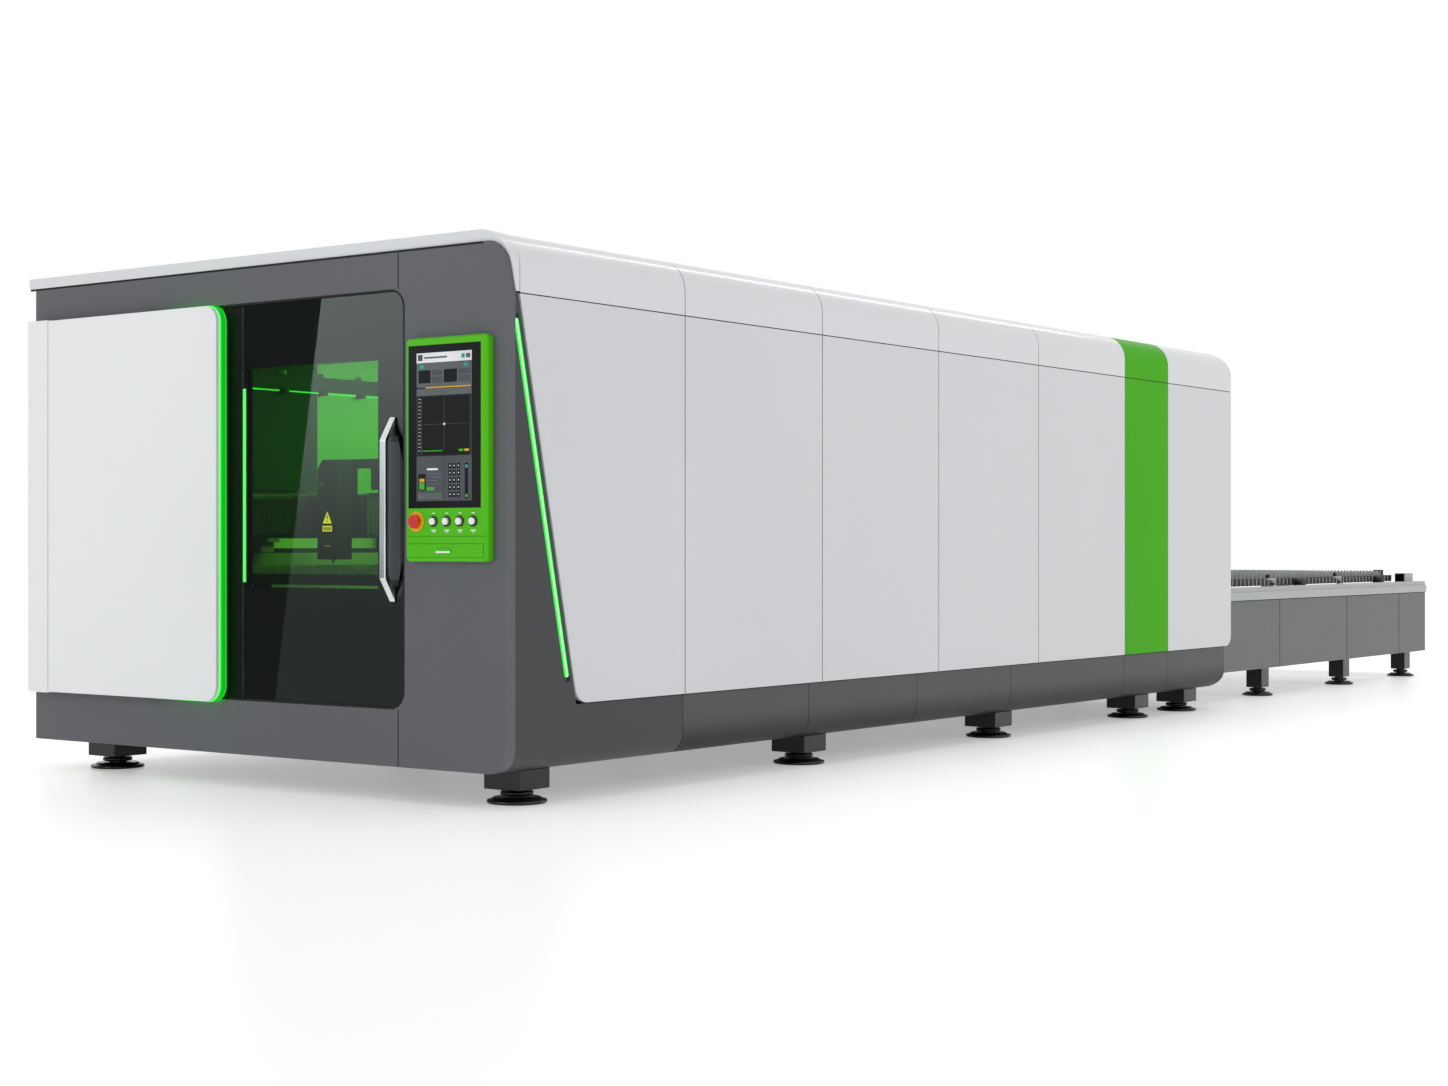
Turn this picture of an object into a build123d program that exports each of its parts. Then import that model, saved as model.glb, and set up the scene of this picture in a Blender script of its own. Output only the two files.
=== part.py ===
"""Enclosed laser cutting machine with a two-level pallet exchange table, in millimetres."""

import os
from math import atan2, cos, degrees, radians

from build123d import *

os.makedirs("parts", exist_ok=True)

# Overall sizes of the enclosure. Lengths along the machine start at the portal's front face.
enclosure_length = 7390.0
enclosure_width = 3083.0
roof_height = 2405.0
cap_overhang = 45.0
cover_proud = 65.0

# Levels above the floor
skirt_bottom = 150.0
panel_bottom = 423.0
roof_seam = 2147.0
door_sill = 396.0
door_head = 2195.0

# Sheet metal
sheet = 3.0
seam_gap = 4.0
pan_depth = 25.0
grey_inset = 6.0
roof_radius = 150.0
corner_radius = 100.0
soft_edge = 3.0

# Side panels along the long side
first_seam = 1222.0
panel_pitch = 1135.0
panel_count = 5
stripe_width = 625.0
panel_corner_radius = 80.0
slant_top = 80.0
slant_bottom = 455.0

# Portal, door and cover
portal_depth = 60.0
opening_edge = 580.0
opening_radius = 36.0
far_post = 303.0
cap_height = 50.0
cap_depth = 82.0
door_gap = 4.0
door_setback = 8.0
glass_thickness = 8.0
leaf_thickness = 34.0
leaf_width = 1136.0
glass_width = 1019.0
window_right = 750.0
window_left = 1577.0
window_bottom = 910.0
window_top = 1900.0
cover_right = 1697.0
cover_strip = 151.0
cover_inset = 25.0
cover_radius = 75.0
cover_thickness = 25.0
edge_light_depth = 34.0
edge_light_lip = 4.0
edge_light_width = 14.0
edge_light_run = 480.0

# Door handle
handle_across = 655.0
handle_reach = 62.0
handle_bottom = 856.0
handle_top = 1649.0
handle_bend = 100.0
handle_width = 34.0
handle_thickness = 18.0
plate_width = 95.0
plate_height = 642.0
plate_thickness = 6.0

# Operator console
console_right = 74.0
console_left = 538.0
console_bottom = 1030.0
console_top = 1973.0
console_proud = 40.0
console_split = 1138.0
console_frame = 20.0
console_depth = 200.0
screen_bottom = 1255.0
screen_top = 1940.0
screen_thickness = 6.0
button_level = 1199.0
button_first = 150.0
button_pitch = 74.5
button_count = 4
button_radius = 15.0
collar_radius = 23.0
collar_height = 6.0
button_height = 10.0
button_travel = 4.0
stop_across = 472.0
stop_ring_radius = 43.0
stop_cap_radius = 30.0
stop_travel = 5.0
drawer_bottom = 1048.0
drawer_height = 56.0
drawer_width = 424.0
drawer_wall = 3.0
running_gap = 1.0
fit_gap = 0.5

# Bed, rails and gantry
bed_start = 210.0
bed_clear = 190.0
post_room = 111.5
beam_width = 160.0
bed_bottom = 250.0
bed_top = 1060.0
cross_height = 150.0
cross_count = 5
cross_length = 200.0
rail_height = 25.0
rail_width = 34.0
gantry_front = 1060.0
gantry_depth = 240.0
gantry_bottom = 1137.0
gantry_top = 1360.0
bearing_gap = 0.5
head_across = 395.0
head_width = 140.0
head_front = 860.0
head_top = 1522.0
head_bottom = 1030.0
carriage_width = 260.0

# Exchange table and pallets
pallet_start = 750.0
pallet_length = 4300.0
table_entry = 210.0
table_exit = 260.0
upper_tips = 998.0
lower_tips = 893.0
pallet_height = 92.0
pallet_clear = 200.0
tube_width = 60.0
tube_height = 52.0
slat_count = 56
slat_thickness = 4.0
slat_height = 74.0
tooth_depth = 26.0
tooth_count = 8
upper_rail = 800.0
lower_rail = 770.0
upper_track_inset = 80.0
lower_track_inset = 185.0
upper_wheel_radius = 45.0
lower_wheel_radius = 40.0
wheel_width = 50.0
wheel_gap = 0.3
rail_overlap = 15.0
rail_tube_width = 105.0
rail_tube_height = 91.0
rail_head_height = 34.0
rail_setback = 12.0
table_panel_bottom = 205.0
table_seam_shares = [0.3193, 0.6086, 0.8616]
bracket_shares = [0.3019, 0.5849]
sprocket_radius = 50.0
shaft_level = 690.0
chain_inset = 30.0
chain_width = 16.0
chain_thickness = 10.0

# Feet
foot_shares = [0.0392, 0.3302, 0.594, 0.8403, 0.9405]
table_foot_shares = [0.2767, 0.6226, 0.9224]
near_foot_inset = 200.0
far_foot_inset = 260.0
foot_block = 200.0
table_post = 150.0
block_bottom = 62.0
pad_radius = 130.0
table_pad_radius = 110.0
pad_height = 28.0
collar_foot_radius = 72.0

# Places worked out from the sizes
table_length = table_entry + pallet_length + table_exit
front_x = cover_proud - (cover_proud + enclosure_length + table_length) / 2
near_y = -(enclosure_width + cap_overhang) / 2
mid_y = near_y + enclosure_width / 2
half_width = enclosure_width / 2
pocket_end = enclosure_width - far_post
cover_left = enclosure_width - cover_inset
cover_split = cover_left - cover_strip
bed_end = enclosure_length - bed_clear
beam_outer = half_width - post_room
beam_inner = beam_outer - beam_width
pallet_half = beam_inner - pallet_clear
upper_track = beam_inner - upper_track_inset
lower_track = beam_inner - lower_track_inset
rail_outer = beam_inner + rail_overlap
rail_inner = rail_outer - rail_tube_width
chain_across = pallet_half - chain_inset
exchange_travel = enclosure_length + table_entry - pallet_start
foot_stations = [share * enclosure_length for share in foot_shares]
table_foot_stations = [enclosure_length + share * table_length for share in table_foot_shares]
table_end = enclosure_length + table_length
stripe_start = first_seam + (panel_count - 1) * panel_pitch
stripe_end = stripe_start + stripe_width
front_plane = Plane(origin=(front_x, near_y, 0), x_dir=(0, 1, 0), z_dir=(1, 0, 0))
side_plane = Plane(origin=(front_x, near_y, 0), x_dir=(1, 0, 0), z_dir=(0, -1, 0))
mid_plane = Plane(origin=(front_x, mid_y, 0), x_dir=(1, 0, 0), z_dir=(0, -1, 0))


def bar(x_span, y_span, z_span, mode=Mode.ADD):
    """A square-cut bar: x from the portal's face, y from the machine's centre line, z from the floor."""
    centre = (
        front_x + (x_span[0] + x_span[1]) / 2,
        mid_y + (y_span[0] + y_span[1]) / 2,
        (z_span[0] + z_span[1]) / 2,
    )
    with Locations(centre):
        Box(x_span[1] - x_span[0], y_span[1] - y_span[0], z_span[1] - z_span[0], mode=mode)


def both_sides(x_span, y_span, z_span):
    """The same bar on the near and the far side of the centre line."""
    bar(x_span, y_span, z_span)
    bar(x_span, (-y_span[1], -y_span[0]), z_span)


def disc_across(x, y_span, z, radius, mode=Mode.ADD):
    """A round piece whose axis runs across the machine."""
    centre = (front_x + x, mid_y + (y_span[0] + y_span[1]) / 2, z)
    with Locations(Location(centre, (90, 0, 0))):
        Cylinder(radius, y_span[1] - y_span[0], mode=mode)


def save(piece, name):
    """Labels a finished piece and writes its file."""
    piece.label = name
    export_step(piece, f"parts/{name}.step")


def slant(level):
    """Front edge of the first side panel at a height: it leans back towards the floor."""
    share = (roof_seam - level) / (roof_seam - panel_bottom)
    return slant_top + share * (slant_bottom - slant_top)


# Corner column: the grey front post that carries the console, with rounded outer corners
column_edge = opening_edge + opening_radius
column_top = roof_height + soft_edge + 2 - cap_height
console_clear = 2.0
with BuildPart() as corner_column:
    with BuildSketch(front_plane):
        with BuildLine():
            Polyline(
                (column_edge, skirt_bottom),
                (grey_inset + corner_radius, skirt_bottom),
            )
            JernArc((grey_inset + corner_radius, skirt_bottom), (-1, 0), corner_radius, -90)
            Line(
                (grey_inset, skirt_bottom + corner_radius),
                (grey_inset, column_top - corner_radius),
            )
            JernArc((grey_inset, column_top - corner_radius), (0, 1), corner_radius, -90)
            Polyline(
                (grey_inset + corner_radius, column_top),
                (column_edge, column_top),
                (column_edge, skirt_bottom),
            )
        make_face()
        with Locations((opening_edge + opening_radius, (door_sill + door_head) / 2)):
            RectangleRounded(
                2 * opening_radius, door_head - door_sill, opening_radius - 0.5, mode=Mode.SUBTRACT
            )
        console_mid = (console_left + console_right) / 2
        console_inner = console_left - console_right - 2 * console_frame
        with Locations((console_mid, (console_bottom + console_top) / 2)):
            Rectangle(
                console_inner + 2 * console_clear,
                console_top - console_bottom - 2 * console_frame + 2 * console_clear,
                mode=Mode.SUBTRACT,
            )
    extrude(amount=portal_depth)
save(corner_column.part, "corner_column")

# Portal frame: sill, header and far post, folded and welded as one open frame
with BuildPart() as portal_frame:
    with BuildSketch(front_plane):
        with BuildLine():
            Polyline(
                (column_edge + seam_gap, skirt_bottom),
                (enclosure_width, skirt_bottom),
                (enclosure_width, column_top),
                (column_edge + seam_gap, column_top),
                (column_edge + seam_gap, door_head),
                (pocket_end, door_head),
                (pocket_end, door_sill),
                (column_edge + seam_gap, door_sill),
                close=True,
            )
        make_face()
    extrude(amount=portal_depth)
save(portal_frame.part, "portal_frame")

# Roof cap: the white band over the portal, which turns down round the near corner
cap_top = roof_height + soft_edge + 2
with BuildPart() as roof_cap:
    with BuildSketch(front_plane.offset(-soft_edge)):
        with BuildLine():
            Line((0, roof_seam + seam_gap), (0, cap_top - roof_radius))
            JernArc((0, cap_top - roof_radius), (0, 1), roof_radius, -90)
            Polyline(
                (roof_radius, cap_top),
                (enclosure_width + cap_overhang, cap_top),
                (enclosure_width + cap_overhang, column_top + fit_gap),
                (grey_inset + corner_radius, column_top + fit_gap),
            )
            JernArc(
                (grey_inset + corner_radius, column_top + fit_gap), (-1, 0), corner_radius + fit_gap, 90
            )
            Polyline(
                (grey_inset - fit_gap, column_top - corner_radius),
                (grey_inset - fit_gap, roof_seam + seam_gap),
                (0, roof_seam + seam_gap),
            )
        make_face()
    extrude(amount=cap_depth)
    bar(
        (portal_depth, cap_depth),
        (roof_radius - half_width, half_width + cap_overhang + 1),
        (column_top, roof_height - sheet + fit_gap),
        mode=Mode.SUBTRACT,
    )
save(roof_cap.part, "roof_cap")

# Side return: grey slab behind the corner column, cut to the slanted line, with the light channel in it
return_depth = pan_depth - grey_inset
skirt_flange = 14.0
channel_width = 34.0
channel_back = 20.0
light_low = 538.0
light_high = 2038.0
strip_depth = 12.0
skirt_seam = first_seam - 10.0
skirt_top = panel_bottom - seam_gap
slant_angle = degrees(atan2(slant_bottom - slant_top, roof_seam - panel_bottom))
slant_mid = (slant(light_high) + slant(light_low)) / 2
channel_mid = (light_low + light_high) / 2
strip_length = (light_high - light_low) / cos(radians(slant_angle))
channel_length = strip_length + 40
with BuildPart() as side_return:
    with BuildSketch(front_plane.offset(portal_depth + fit_gap)):
        with BuildLine():
            Line((grey_inset, roof_seam), (grey_inset, skirt_bottom + corner_radius))
            JernArc(
                (grey_inset, skirt_bottom + corner_radius), (0, -1), corner_radius, 90
            )
            Polyline(
                (grey_inset + corner_radius, skirt_bottom),
                (grey_inset + corner_radius + skirt_flange, skirt_bottom),
                (grey_inset + corner_radius + skirt_flange, skirt_bottom + return_depth),
                (grey_inset + corner_radius, skirt_bottom + return_depth),
            )
            JernArc(
                (grey_inset + corner_radius, skirt_bottom + return_depth),
                (-1, 0),
                corner_radius - return_depth,
                -90,
            )
            Polyline(
                (grey_inset + return_depth, skirt_bottom + corner_radius),
                (grey_inset + return_depth, roof_seam),
                (grey_inset, roof_seam),
            )
        make_face()
    extrude(amount=skirt_seam - portal_depth - seam_gap)
    with BuildSketch(side_plane):
        with BuildLine():
            Polyline(
                (portal_depth, skirt_bottom),
                (skirt_seam, skirt_bottom),
                (skirt_seam, skirt_top),
                (slant(skirt_top) - seam_gap, skirt_top),
                (slant(roof_seam) - seam_gap, roof_seam),
                (portal_depth, roof_seam),
                close=True,
            )
        make_face()
    extrude(amount=-(grey_inset + 2 * corner_radius), mode=Mode.INTERSECT)
    with BuildSketch(side_plane.offset(-grey_inset)):
        with Locations(Location((slant_mid - channel_back - channel_width / 2, channel_mid), slant_angle)):
            Rectangle(channel_width, channel_length, mode=Mode.ADD)
    extrude(amount=-(strip_depth + fit_gap), mode=Mode.SUBTRACT)
save(side_return.part, "side_return")

# Light strip: the diffuser bar that lies in the slanted channel
with BuildPart() as light_strip:
    with BuildSketch(side_plane.offset(-(grey_inset + strip_depth + fit_gap))):
        with Locations(Location((slant_mid - channel_back - channel_width / 2, channel_mid), slant_angle)):
            RectangleRounded(channel_width - 12, strip_length, 8)
        with Locations((portal_depth + fit_gap - channel_width, channel_mid)):
            Rectangle(2 * channel_width, channel_length, mode=Mode.SUBTRACT)
    extrude(amount=strip_depth)
save(light_strip.part, "light_strip")


def pan(plane, x_span, z_span):
    """A folded sheet pan: a face with soft outer edges and returned rims, open at the back."""
    centre = ((x_span[0] + x_span[1]) / 2, (z_span[0] + z_span[1]) / 2)
    width = x_span[1] - x_span[0]
    height = z_span[1] - z_span[0]
    with BuildPart() as tray:
        with BuildSketch(plane):
            with Locations(centre):
                Rectangle(width, height)
        extrude(amount=-pan_depth)
        rim = edges().group_by(Axis(plane.origin, plane.z_dir))[-1]
        fillet(rim, soft_edge - 0.5)
        with BuildSketch(plane.offset(-sheet)):
            with Locations(centre):
                Rectangle(width - 2 * sheet, height - 2 * sheet)
        extrude(amount=-pan_depth, mode=Mode.SUBTRACT)
    return tray.part


# Near side panels. The first one has the slanted front edge, the others are plain pans.
panel_low = panel_bottom
panel_high = roof_seam - seam_gap
with BuildPart() as side_panel_1:
    with BuildSketch(side_plane):
        with BuildLine():
            Polyline(
                (slant(panel_high), panel_high),
                (first_seam - seam_gap, panel_high),
                (first_seam - seam_gap, panel_low),
                (slant(panel_low), panel_low),
                close=True,
            )
        make_face()
        fillet(vertices().group_by(Axis.Y)[0].sort_by(Axis.X)[0], panel_corner_radius)
    extrude(amount=-pan_depth)
    fillet(faces().sort_by(Axis.Y)[0].edges(), soft_edge - 0.5)
    with BuildSketch(side_plane.offset(-sheet)):
        with BuildLine():
            Polyline(
                (slant(panel_high) + sheet, panel_high - sheet),
                (first_seam - seam_gap - sheet, panel_high - sheet),
                (first_seam - seam_gap - sheet, panel_low + sheet),
                (slant(panel_low) + sheet, panel_low + sheet),
                close=True,
            )
        make_face()
        fillet(vertices().group_by(Axis.Y)[0].sort_by(Axis.X)[0], panel_corner_radius - sheet)
    extrude(amount=-pan_depth, mode=Mode.SUBTRACT)
save(side_panel_1.part, "side_panel_1")

for index in range(1, panel_count):
    panel_start = first_seam + (index - 1) * panel_pitch
    panel_span = (panel_start, panel_start + panel_pitch - seam_gap)
    side_panel = pan(side_plane, panel_span, (panel_low, panel_high))
    save(side_panel, f"side_panel_{index + 1}")

# End panel: plain pan whose lower rear corner is rounded
end_pan = pan(side_plane, (stripe_end, enclosure_length), (panel_low, panel_high))
with BuildPart() as end_panel:
    add(end_pan)
    with BuildSketch(side_plane):
        with Locations((enclosure_length - panel_corner_radius / 2, panel_low + panel_corner_radius / 2)):
            Rectangle(panel_corner_radius, panel_corner_radius)
        with Locations((enclosure_length - panel_corner_radius, panel_low + panel_corner_radius)):
            Circle(panel_corner_radius, mode=Mode.SUBTRACT)
    extrude(amount=-pan_depth, mode=Mode.SUBTRACT)
save(end_panel.part, "end_panel")


def roof_shell(start, end):
    """One length of the near roof edge: side, rounded shoulder and flat, one sheet thick."""
    low = roof_seam
    with BuildPart() as shell:
        with BuildSketch(front_plane.offset(start)):
            with BuildLine():
                Line((0, low), (0, roof_height - roof_radius))
                JernArc((0, roof_height - roof_radius), (0, 1), roof_radius, -90)
                Polyline(
                    (roof_radius, roof_height),
                    (roof_flat, roof_height),
                    (roof_flat, roof_height - sheet),
                    (roof_radius, roof_height - sheet),
                )
                JernArc((roof_radius, roof_height - sheet), (-1, 0), roof_radius - sheet, 90)
                Polyline((sheet, roof_height - roof_radius), (sheet, low), (0, low))
            make_face()
        extrude(amount=end - start)
    return shell.part


# Roof shells: one above each side panel, with the seams in line
roof_flat = 400.0
roof_start = cap_depth - soft_edge + seam_gap
roof_seams = [roof_start] + [first_seam + index * panel_pitch for index in range(panel_count)]
plain_shells = [roof_shell(start, end - seam_gap) for start, end in zip(roof_seams[:-1], roof_seams[1:])]
with BuildPart() as end_shell:
    bar(
        (stripe_end, enclosure_length),
        (-half_width, roof_flat - half_width),
        (roof_seam, roof_height),
    )
    shoulder = edges().filter_by(Axis.X).group_by(Axis.Z)[-1].sort_by(Axis.Y)[:1]
    shoulder += edges().filter_by(Axis.Y).group_by(Axis.Z)[-1].sort_by(Axis.X)[-1:]
    fillet(shoulder, roof_radius)
with BuildPart() as end_hollow:
    bar(
        (stripe_end - sheet, enclosure_length - sheet),
        (sheet - half_width, roof_flat - half_width + sheet),
        (roof_seam - sheet, roof_height - sheet),
    )
    shoulder = edges().filter_by(Axis.X).group_by(Axis.Z)[-1].sort_by(Axis.Y)[:1]
    shoulder += edges().filter_by(Axis.Y).group_by(Axis.Z)[-1].sort_by(Axis.X)[-1:]
    fillet(shoulder, roof_radius - sheet)
with BuildPart() as roof_shells:
    add(plain_shells)
    add(end_shell.part - end_hollow.part)
save(roof_shells.part, "roof_shells")

# Green stripe: side pan, roof shell, roof sheet and far pan of the same width, all in one colour
far_plane = Plane(origin=(front_x, near_y + enclosure_width, 0), x_dir=(-1, 0, 0), z_dir=(0, 1, 0))
far_high = roof_height - sheet - fit_gap
stripe_span = (stripe_start, stripe_end - seam_gap)
stripe_near = pan(side_plane, stripe_span, (panel_low, panel_high))
stripe_far = pan(far_plane, (-stripe_span[1], -stripe_span[0]), (panel_low, far_high))
stripe_shell = roof_shell(stripe_span[0], stripe_span[1])
deck_y = (roof_flat + seam_gap - half_width, half_width)
with BuildPart() as green_stripe:
    add([stripe_near, stripe_far, stripe_shell])
    bar(stripe_span, deck_y, (roof_height - sheet, roof_height))
save(green_stripe.part, "green_stripe")

# Roof deck: flat sheets between the roof shells and the far side, the last one rolled down at the rear
with BuildPart() as roof_deck:
    for start, end in zip(roof_seams[:-1], roof_seams[1:]):
        bar((start, end - seam_gap), deck_y, (roof_height - sheet, roof_height))
    with BuildSketch(side_plane.offset(-(roof_flat + seam_gap))):
        with BuildLine():
            Line((stripe_end, roof_height), (enclosure_length - roof_radius, roof_height))
            JernArc((enclosure_length - roof_radius, roof_height), (1, 0), roof_radius, -90)
            Polyline(
                (enclosure_length, roof_height - roof_radius),
                (enclosure_length, roof_seam),
                (enclosure_length - sheet, roof_seam),
                (enclosure_length - sheet, roof_height - roof_radius),
            )
            JernArc(
                (enclosure_length - sheet, roof_height - roof_radius), (0, 1), roof_radius - sheet, 90
            )
            Polyline(
                (enclosure_length - roof_radius, roof_height - sheet),
                (stripe_end, roof_height - sheet),
                (stripe_end, roof_height),
            )
        make_face()
    extrude(amount=-(enclosure_width - roof_flat - seam_gap))
save(roof_deck.part, "roof_deck")

# Far side panels: plain pans up to the roof deck, with the seams of the near side
far_seams = [portal_depth + fit_gap] + roof_seams[1:]
far_end = enclosure_length - sheet - fit_gap
far_pans = [
    pan(far_plane, (seam_gap - end, -start), (panel_low, far_high))
    for start, end in zip(far_seams[:-1], far_seams[1:])
]
far_pans.append(pan(far_plane, (-far_end, -stripe_end), (panel_low, roof_height - roof_radius)))
with BuildPart() as far_side_panels:
    add(far_pans)
save(far_side_panels.part, "far_side_panels")

# Skirt panels: near ones curve under the machine, far ones are plain, and one closes the rear
skirt_pitch = 1030.0
skirt_end = enclosure_length - 100.0
skirt_seams = [skirt_seam + index * skirt_pitch for index in range(4)]
skirt_seams += [stripe_start, stripe_end, skirt_end]
rear_corner = 120.0
far_skirt_seams = [portal_depth + fit_gap] + skirt_seams
far_skirts = [
    pan(far_plane, (seam_gap - end, -start), (skirt_bottom, skirt_top))
    for start, end in zip(far_skirt_seams[:-1], far_skirt_seams[1:])
]
with BuildPart() as skirt_panels:
    for start, end in zip(skirt_seams[:-1], skirt_seams[1:]):
        with BuildSketch(front_plane.offset(start)):
            with BuildLine():
                Line((grey_inset, skirt_top), (grey_inset, skirt_bottom + corner_radius))
                JernArc((grey_inset, skirt_bottom + corner_radius), (0, -1), corner_radius, 90)
                Polyline(
                    (grey_inset + corner_radius, skirt_bottom),
                    (grey_inset + corner_radius + skirt_flange, skirt_bottom),
                    (grey_inset + corner_radius + skirt_flange, skirt_bottom + sheet),
                    (grey_inset + corner_radius, skirt_bottom + sheet),
                )
                JernArc(
                    (grey_inset + corner_radius, skirt_bottom + sheet), (-1, 0), corner_radius - sheet, -90
                )
                Polyline(
                    (grey_inset + sheet, skirt_bottom + corner_radius),
                    (grey_inset + sheet, skirt_top),
                    (grey_inset, skirt_top),
                )
            make_face()
        extrude(amount=end - start - seam_gap)
    with BuildSketch(side_plane):
        with Locations((skirt_end - rear_corner / 2, skirt_bottom + rear_corner / 2)):
            Rectangle(rear_corner, rear_corner)
        with Locations((skirt_end - seam_gap - rear_corner, skirt_bottom + rear_corner)):
            Circle(rear_corner, mode=Mode.SUBTRACT)
    extrude(amount=-(grey_inset + 2 * corner_radius), mode=Mode.SUBTRACT)
    add(far_skirts)
    rear_skirt_y = (
        corner_radius + grey_inset + skirt_flange + seam_gap - half_width,
        half_width - pan_depth - seam_gap,
    )
    bar((skirt_end - sheet - seam_gap, skirt_end - seam_gap), rear_skirt_y, (skirt_bottom, skirt_top))
save(skirt_panels.part, "skirt_panels")

# Frame posts behind the panels, bolted to the bed, with a short arm at the top of each
post = 60.0
post_top = 2290.0
arm_reach = 210.0
outrigger = 20.0
post_y = (beam_outer + outrigger, half_width - pan_depth)
last_post = skirt_end - seam_gap - sheet - post / 2
post_seams = [portal_depth + post / 2] + roof_seams[1:] + [stripe_end, last_post]
with BuildPart() as frame_posts:
    for seam in post_seams:
        both_sides((seam - post / 2, seam + post / 2), post_y, (bed_bottom, post_top))
        arm_y = (half_width - arm_reach, half_width - pan_depth)
        both_sides((seam - post / 2, seam + post / 2), arm_y, (post_top - post, post_top))
    for seam in post_seams[1:]:
        clip_y = (grey_inset + sheet - half_width, pan_depth - half_width)
        bar((seam, seam + post / 2), clip_y, (skirt_top - 2 * post, skirt_top - post))
save(frame_posts.part, "frame_posts")

# Roof beams across the arms, which carry the deck
beam_y = (roof_radius - half_width, half_width - pan_depth)
with BuildPart() as roof_beams:
    for seam in post_seams[:-1]:
        bar((seam - post / 2, seam + post / 2), beam_y, (post_top, roof_height - sheet))
save(roof_beams.part, "roof_beams")

# Rear wall with the pallet passage and the gate's guides
wall_thickness = 25.0
passage_half = beam_inner + 30.0
passage_low = 600.0
passage_high = 1240.0
gate_half = passage_half + 20.0
gate_height = 430.0
gate_thickness = 20.0
guide_lip = 20.0
guide_gap = 0.4
wall_half = half_width - pan_depth
wall_back = enclosure_length - wall_thickness
gate_back = wall_back - 15.0
with BuildPart() as rear_wall:
    bar((wall_back, enclosure_length), (-wall_half, wall_half), (panel_bottom, roof_seam - seam_gap))
    bar(
        (wall_back - 1, enclosure_length + 1),
        (-passage_half, passage_half),
        (passage_low, passage_high),
        mode=Mode.SUBTRACT,
    )
    guide_y = (gate_half - guide_lip, gate_half + guide_lip)
    guide_x = (gate_back - gate_thickness - 12, wall_back)
    both_sides(guide_x, guide_y, (passage_low, passage_high + gate_height))
    for side in (-1, 1):
        slot_y = sorted((side * (guide_y[0] - 1), side * (gate_half + guide_gap)))
        slot_x = (gate_back - gate_thickness - guide_gap, gate_back + guide_gap)
        bar(slot_x, slot_y, (upper_rail, passage_high + gate_height + 1), mode=Mode.SUBTRACT)
save(rear_wall.part, "rear_wall")

# Rear gate, raised above the passage
with BuildPart() as rear_gate:
    gate_low = passage_high + fit_gap
    gate_x = (gate_back - gate_thickness, gate_back)
    bar(gate_x, (-gate_half, gate_half), (gate_low, gate_low + gate_height))
    for level in (gate_low + gate_height * 0.25, gate_low + gate_height * 0.75):
        rib = (gate_back - gate_thickness - 12, gate_back - gate_thickness)
        bar(rib, (60 - gate_half, gate_half - 60), (level - 20, level + 20))
save(rear_gate.part, "rear_gate")


def cover_outline(right, left, low, high, radius):
    """A cover's outline with round corners on the door side and square ones on the other."""
    with BuildSketch() as outline:
        with BuildLine():
            Line((left, low), (right + radius, low))
            JernArc((right + radius, low), (-1, 0), radius, -90)
            Line((right, low + radius), (right, high - radius))
            JernArc((right, high - radius), (0, 1), radius, -90)
            Polyline((right + radius, high), (left, high), (left, low))
        make_face()
    return outline.sketch_local


# Cover panels: the proud white panel that hides the open door, its side strip and their back rails
cover_low = door_sill - 7
cover_high = door_head - 6
rail_step = 40.0
strip_lip = 4.0
with BuildPart() as cover_panels:
    with BuildSketch(front_plane.offset(-cover_proud)):
        add(cover_outline(cover_right, cover_split - seam_gap, cover_low, cover_high, cover_radius))
    extrude(amount=cover_thickness)
    fillet(faces().sort_by(Axis.X)[0].edges(), soft_edge)
    with BuildSketch(front_plane.offset(sheet - cover_proud)):
        inner_left = cover_split - seam_gap - sheet
        inner_levels = (cover_low + sheet, cover_high - sheet)
        add(cover_outline(cover_right + sheet, inner_left, *inner_levels, cover_radius - sheet))
    extrude(amount=cover_thickness, mode=Mode.SUBTRACT)
    strip_y = (cover_split - half_width, cover_left - half_width)
    strip_z = (cover_low - strip_lip, cover_high + strip_lip)
    bar((-cover_proud, cover_thickness - cover_proud), strip_y, strip_z)
    rail_y = (cover_right + 2 * rail_step - half_width, cover_left - half_width - 20)
    foot_y = (pocket_end - half_width + 20, cover_left - half_width - 20)
    for level in (cover_low + 2 * rail_step, cover_high - 2 * rail_step):
        back_rail = (cover_thickness - cover_proud, cover_thickness - cover_proud + edge_light_depth)
        bar(back_rail, rail_y, (level - rail_step / 2, level + rail_step / 2))
        bar((back_rail[0], 0), foot_y, (level - rail_step, level + rail_step))
save(cover_panels.part, "cover_panels")

# Edge light: a clear diffuser behind the cover, round its door-side edge and corners
with BuildPart() as cover_edge_light:
    with BuildSketch(front_plane.offset(cover_thickness - cover_proud)):
        outer_levels = (cover_low - edge_light_lip, cover_high + edge_light_lip)
        outer_radius = cover_radius + edge_light_lip
        run_end = cover_right + edge_light_run
        add(cover_outline(cover_right - edge_light_lip, run_end, *outer_levels, outer_radius))
        light_inner = edge_light_width - edge_light_lip
        inner_levels = (cover_low + light_inner, cover_high - light_inner)
        inner_radius = cover_radius - light_inner
        light_hole = cover_outline(cover_right + light_inner, run_end + 1, *inner_levels, inner_radius)
        add(light_hole, mode=Mode.SUBTRACT)
    extrude(amount=edge_light_depth)
save(cover_edge_light.part, "cover_edge_light")

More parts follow.
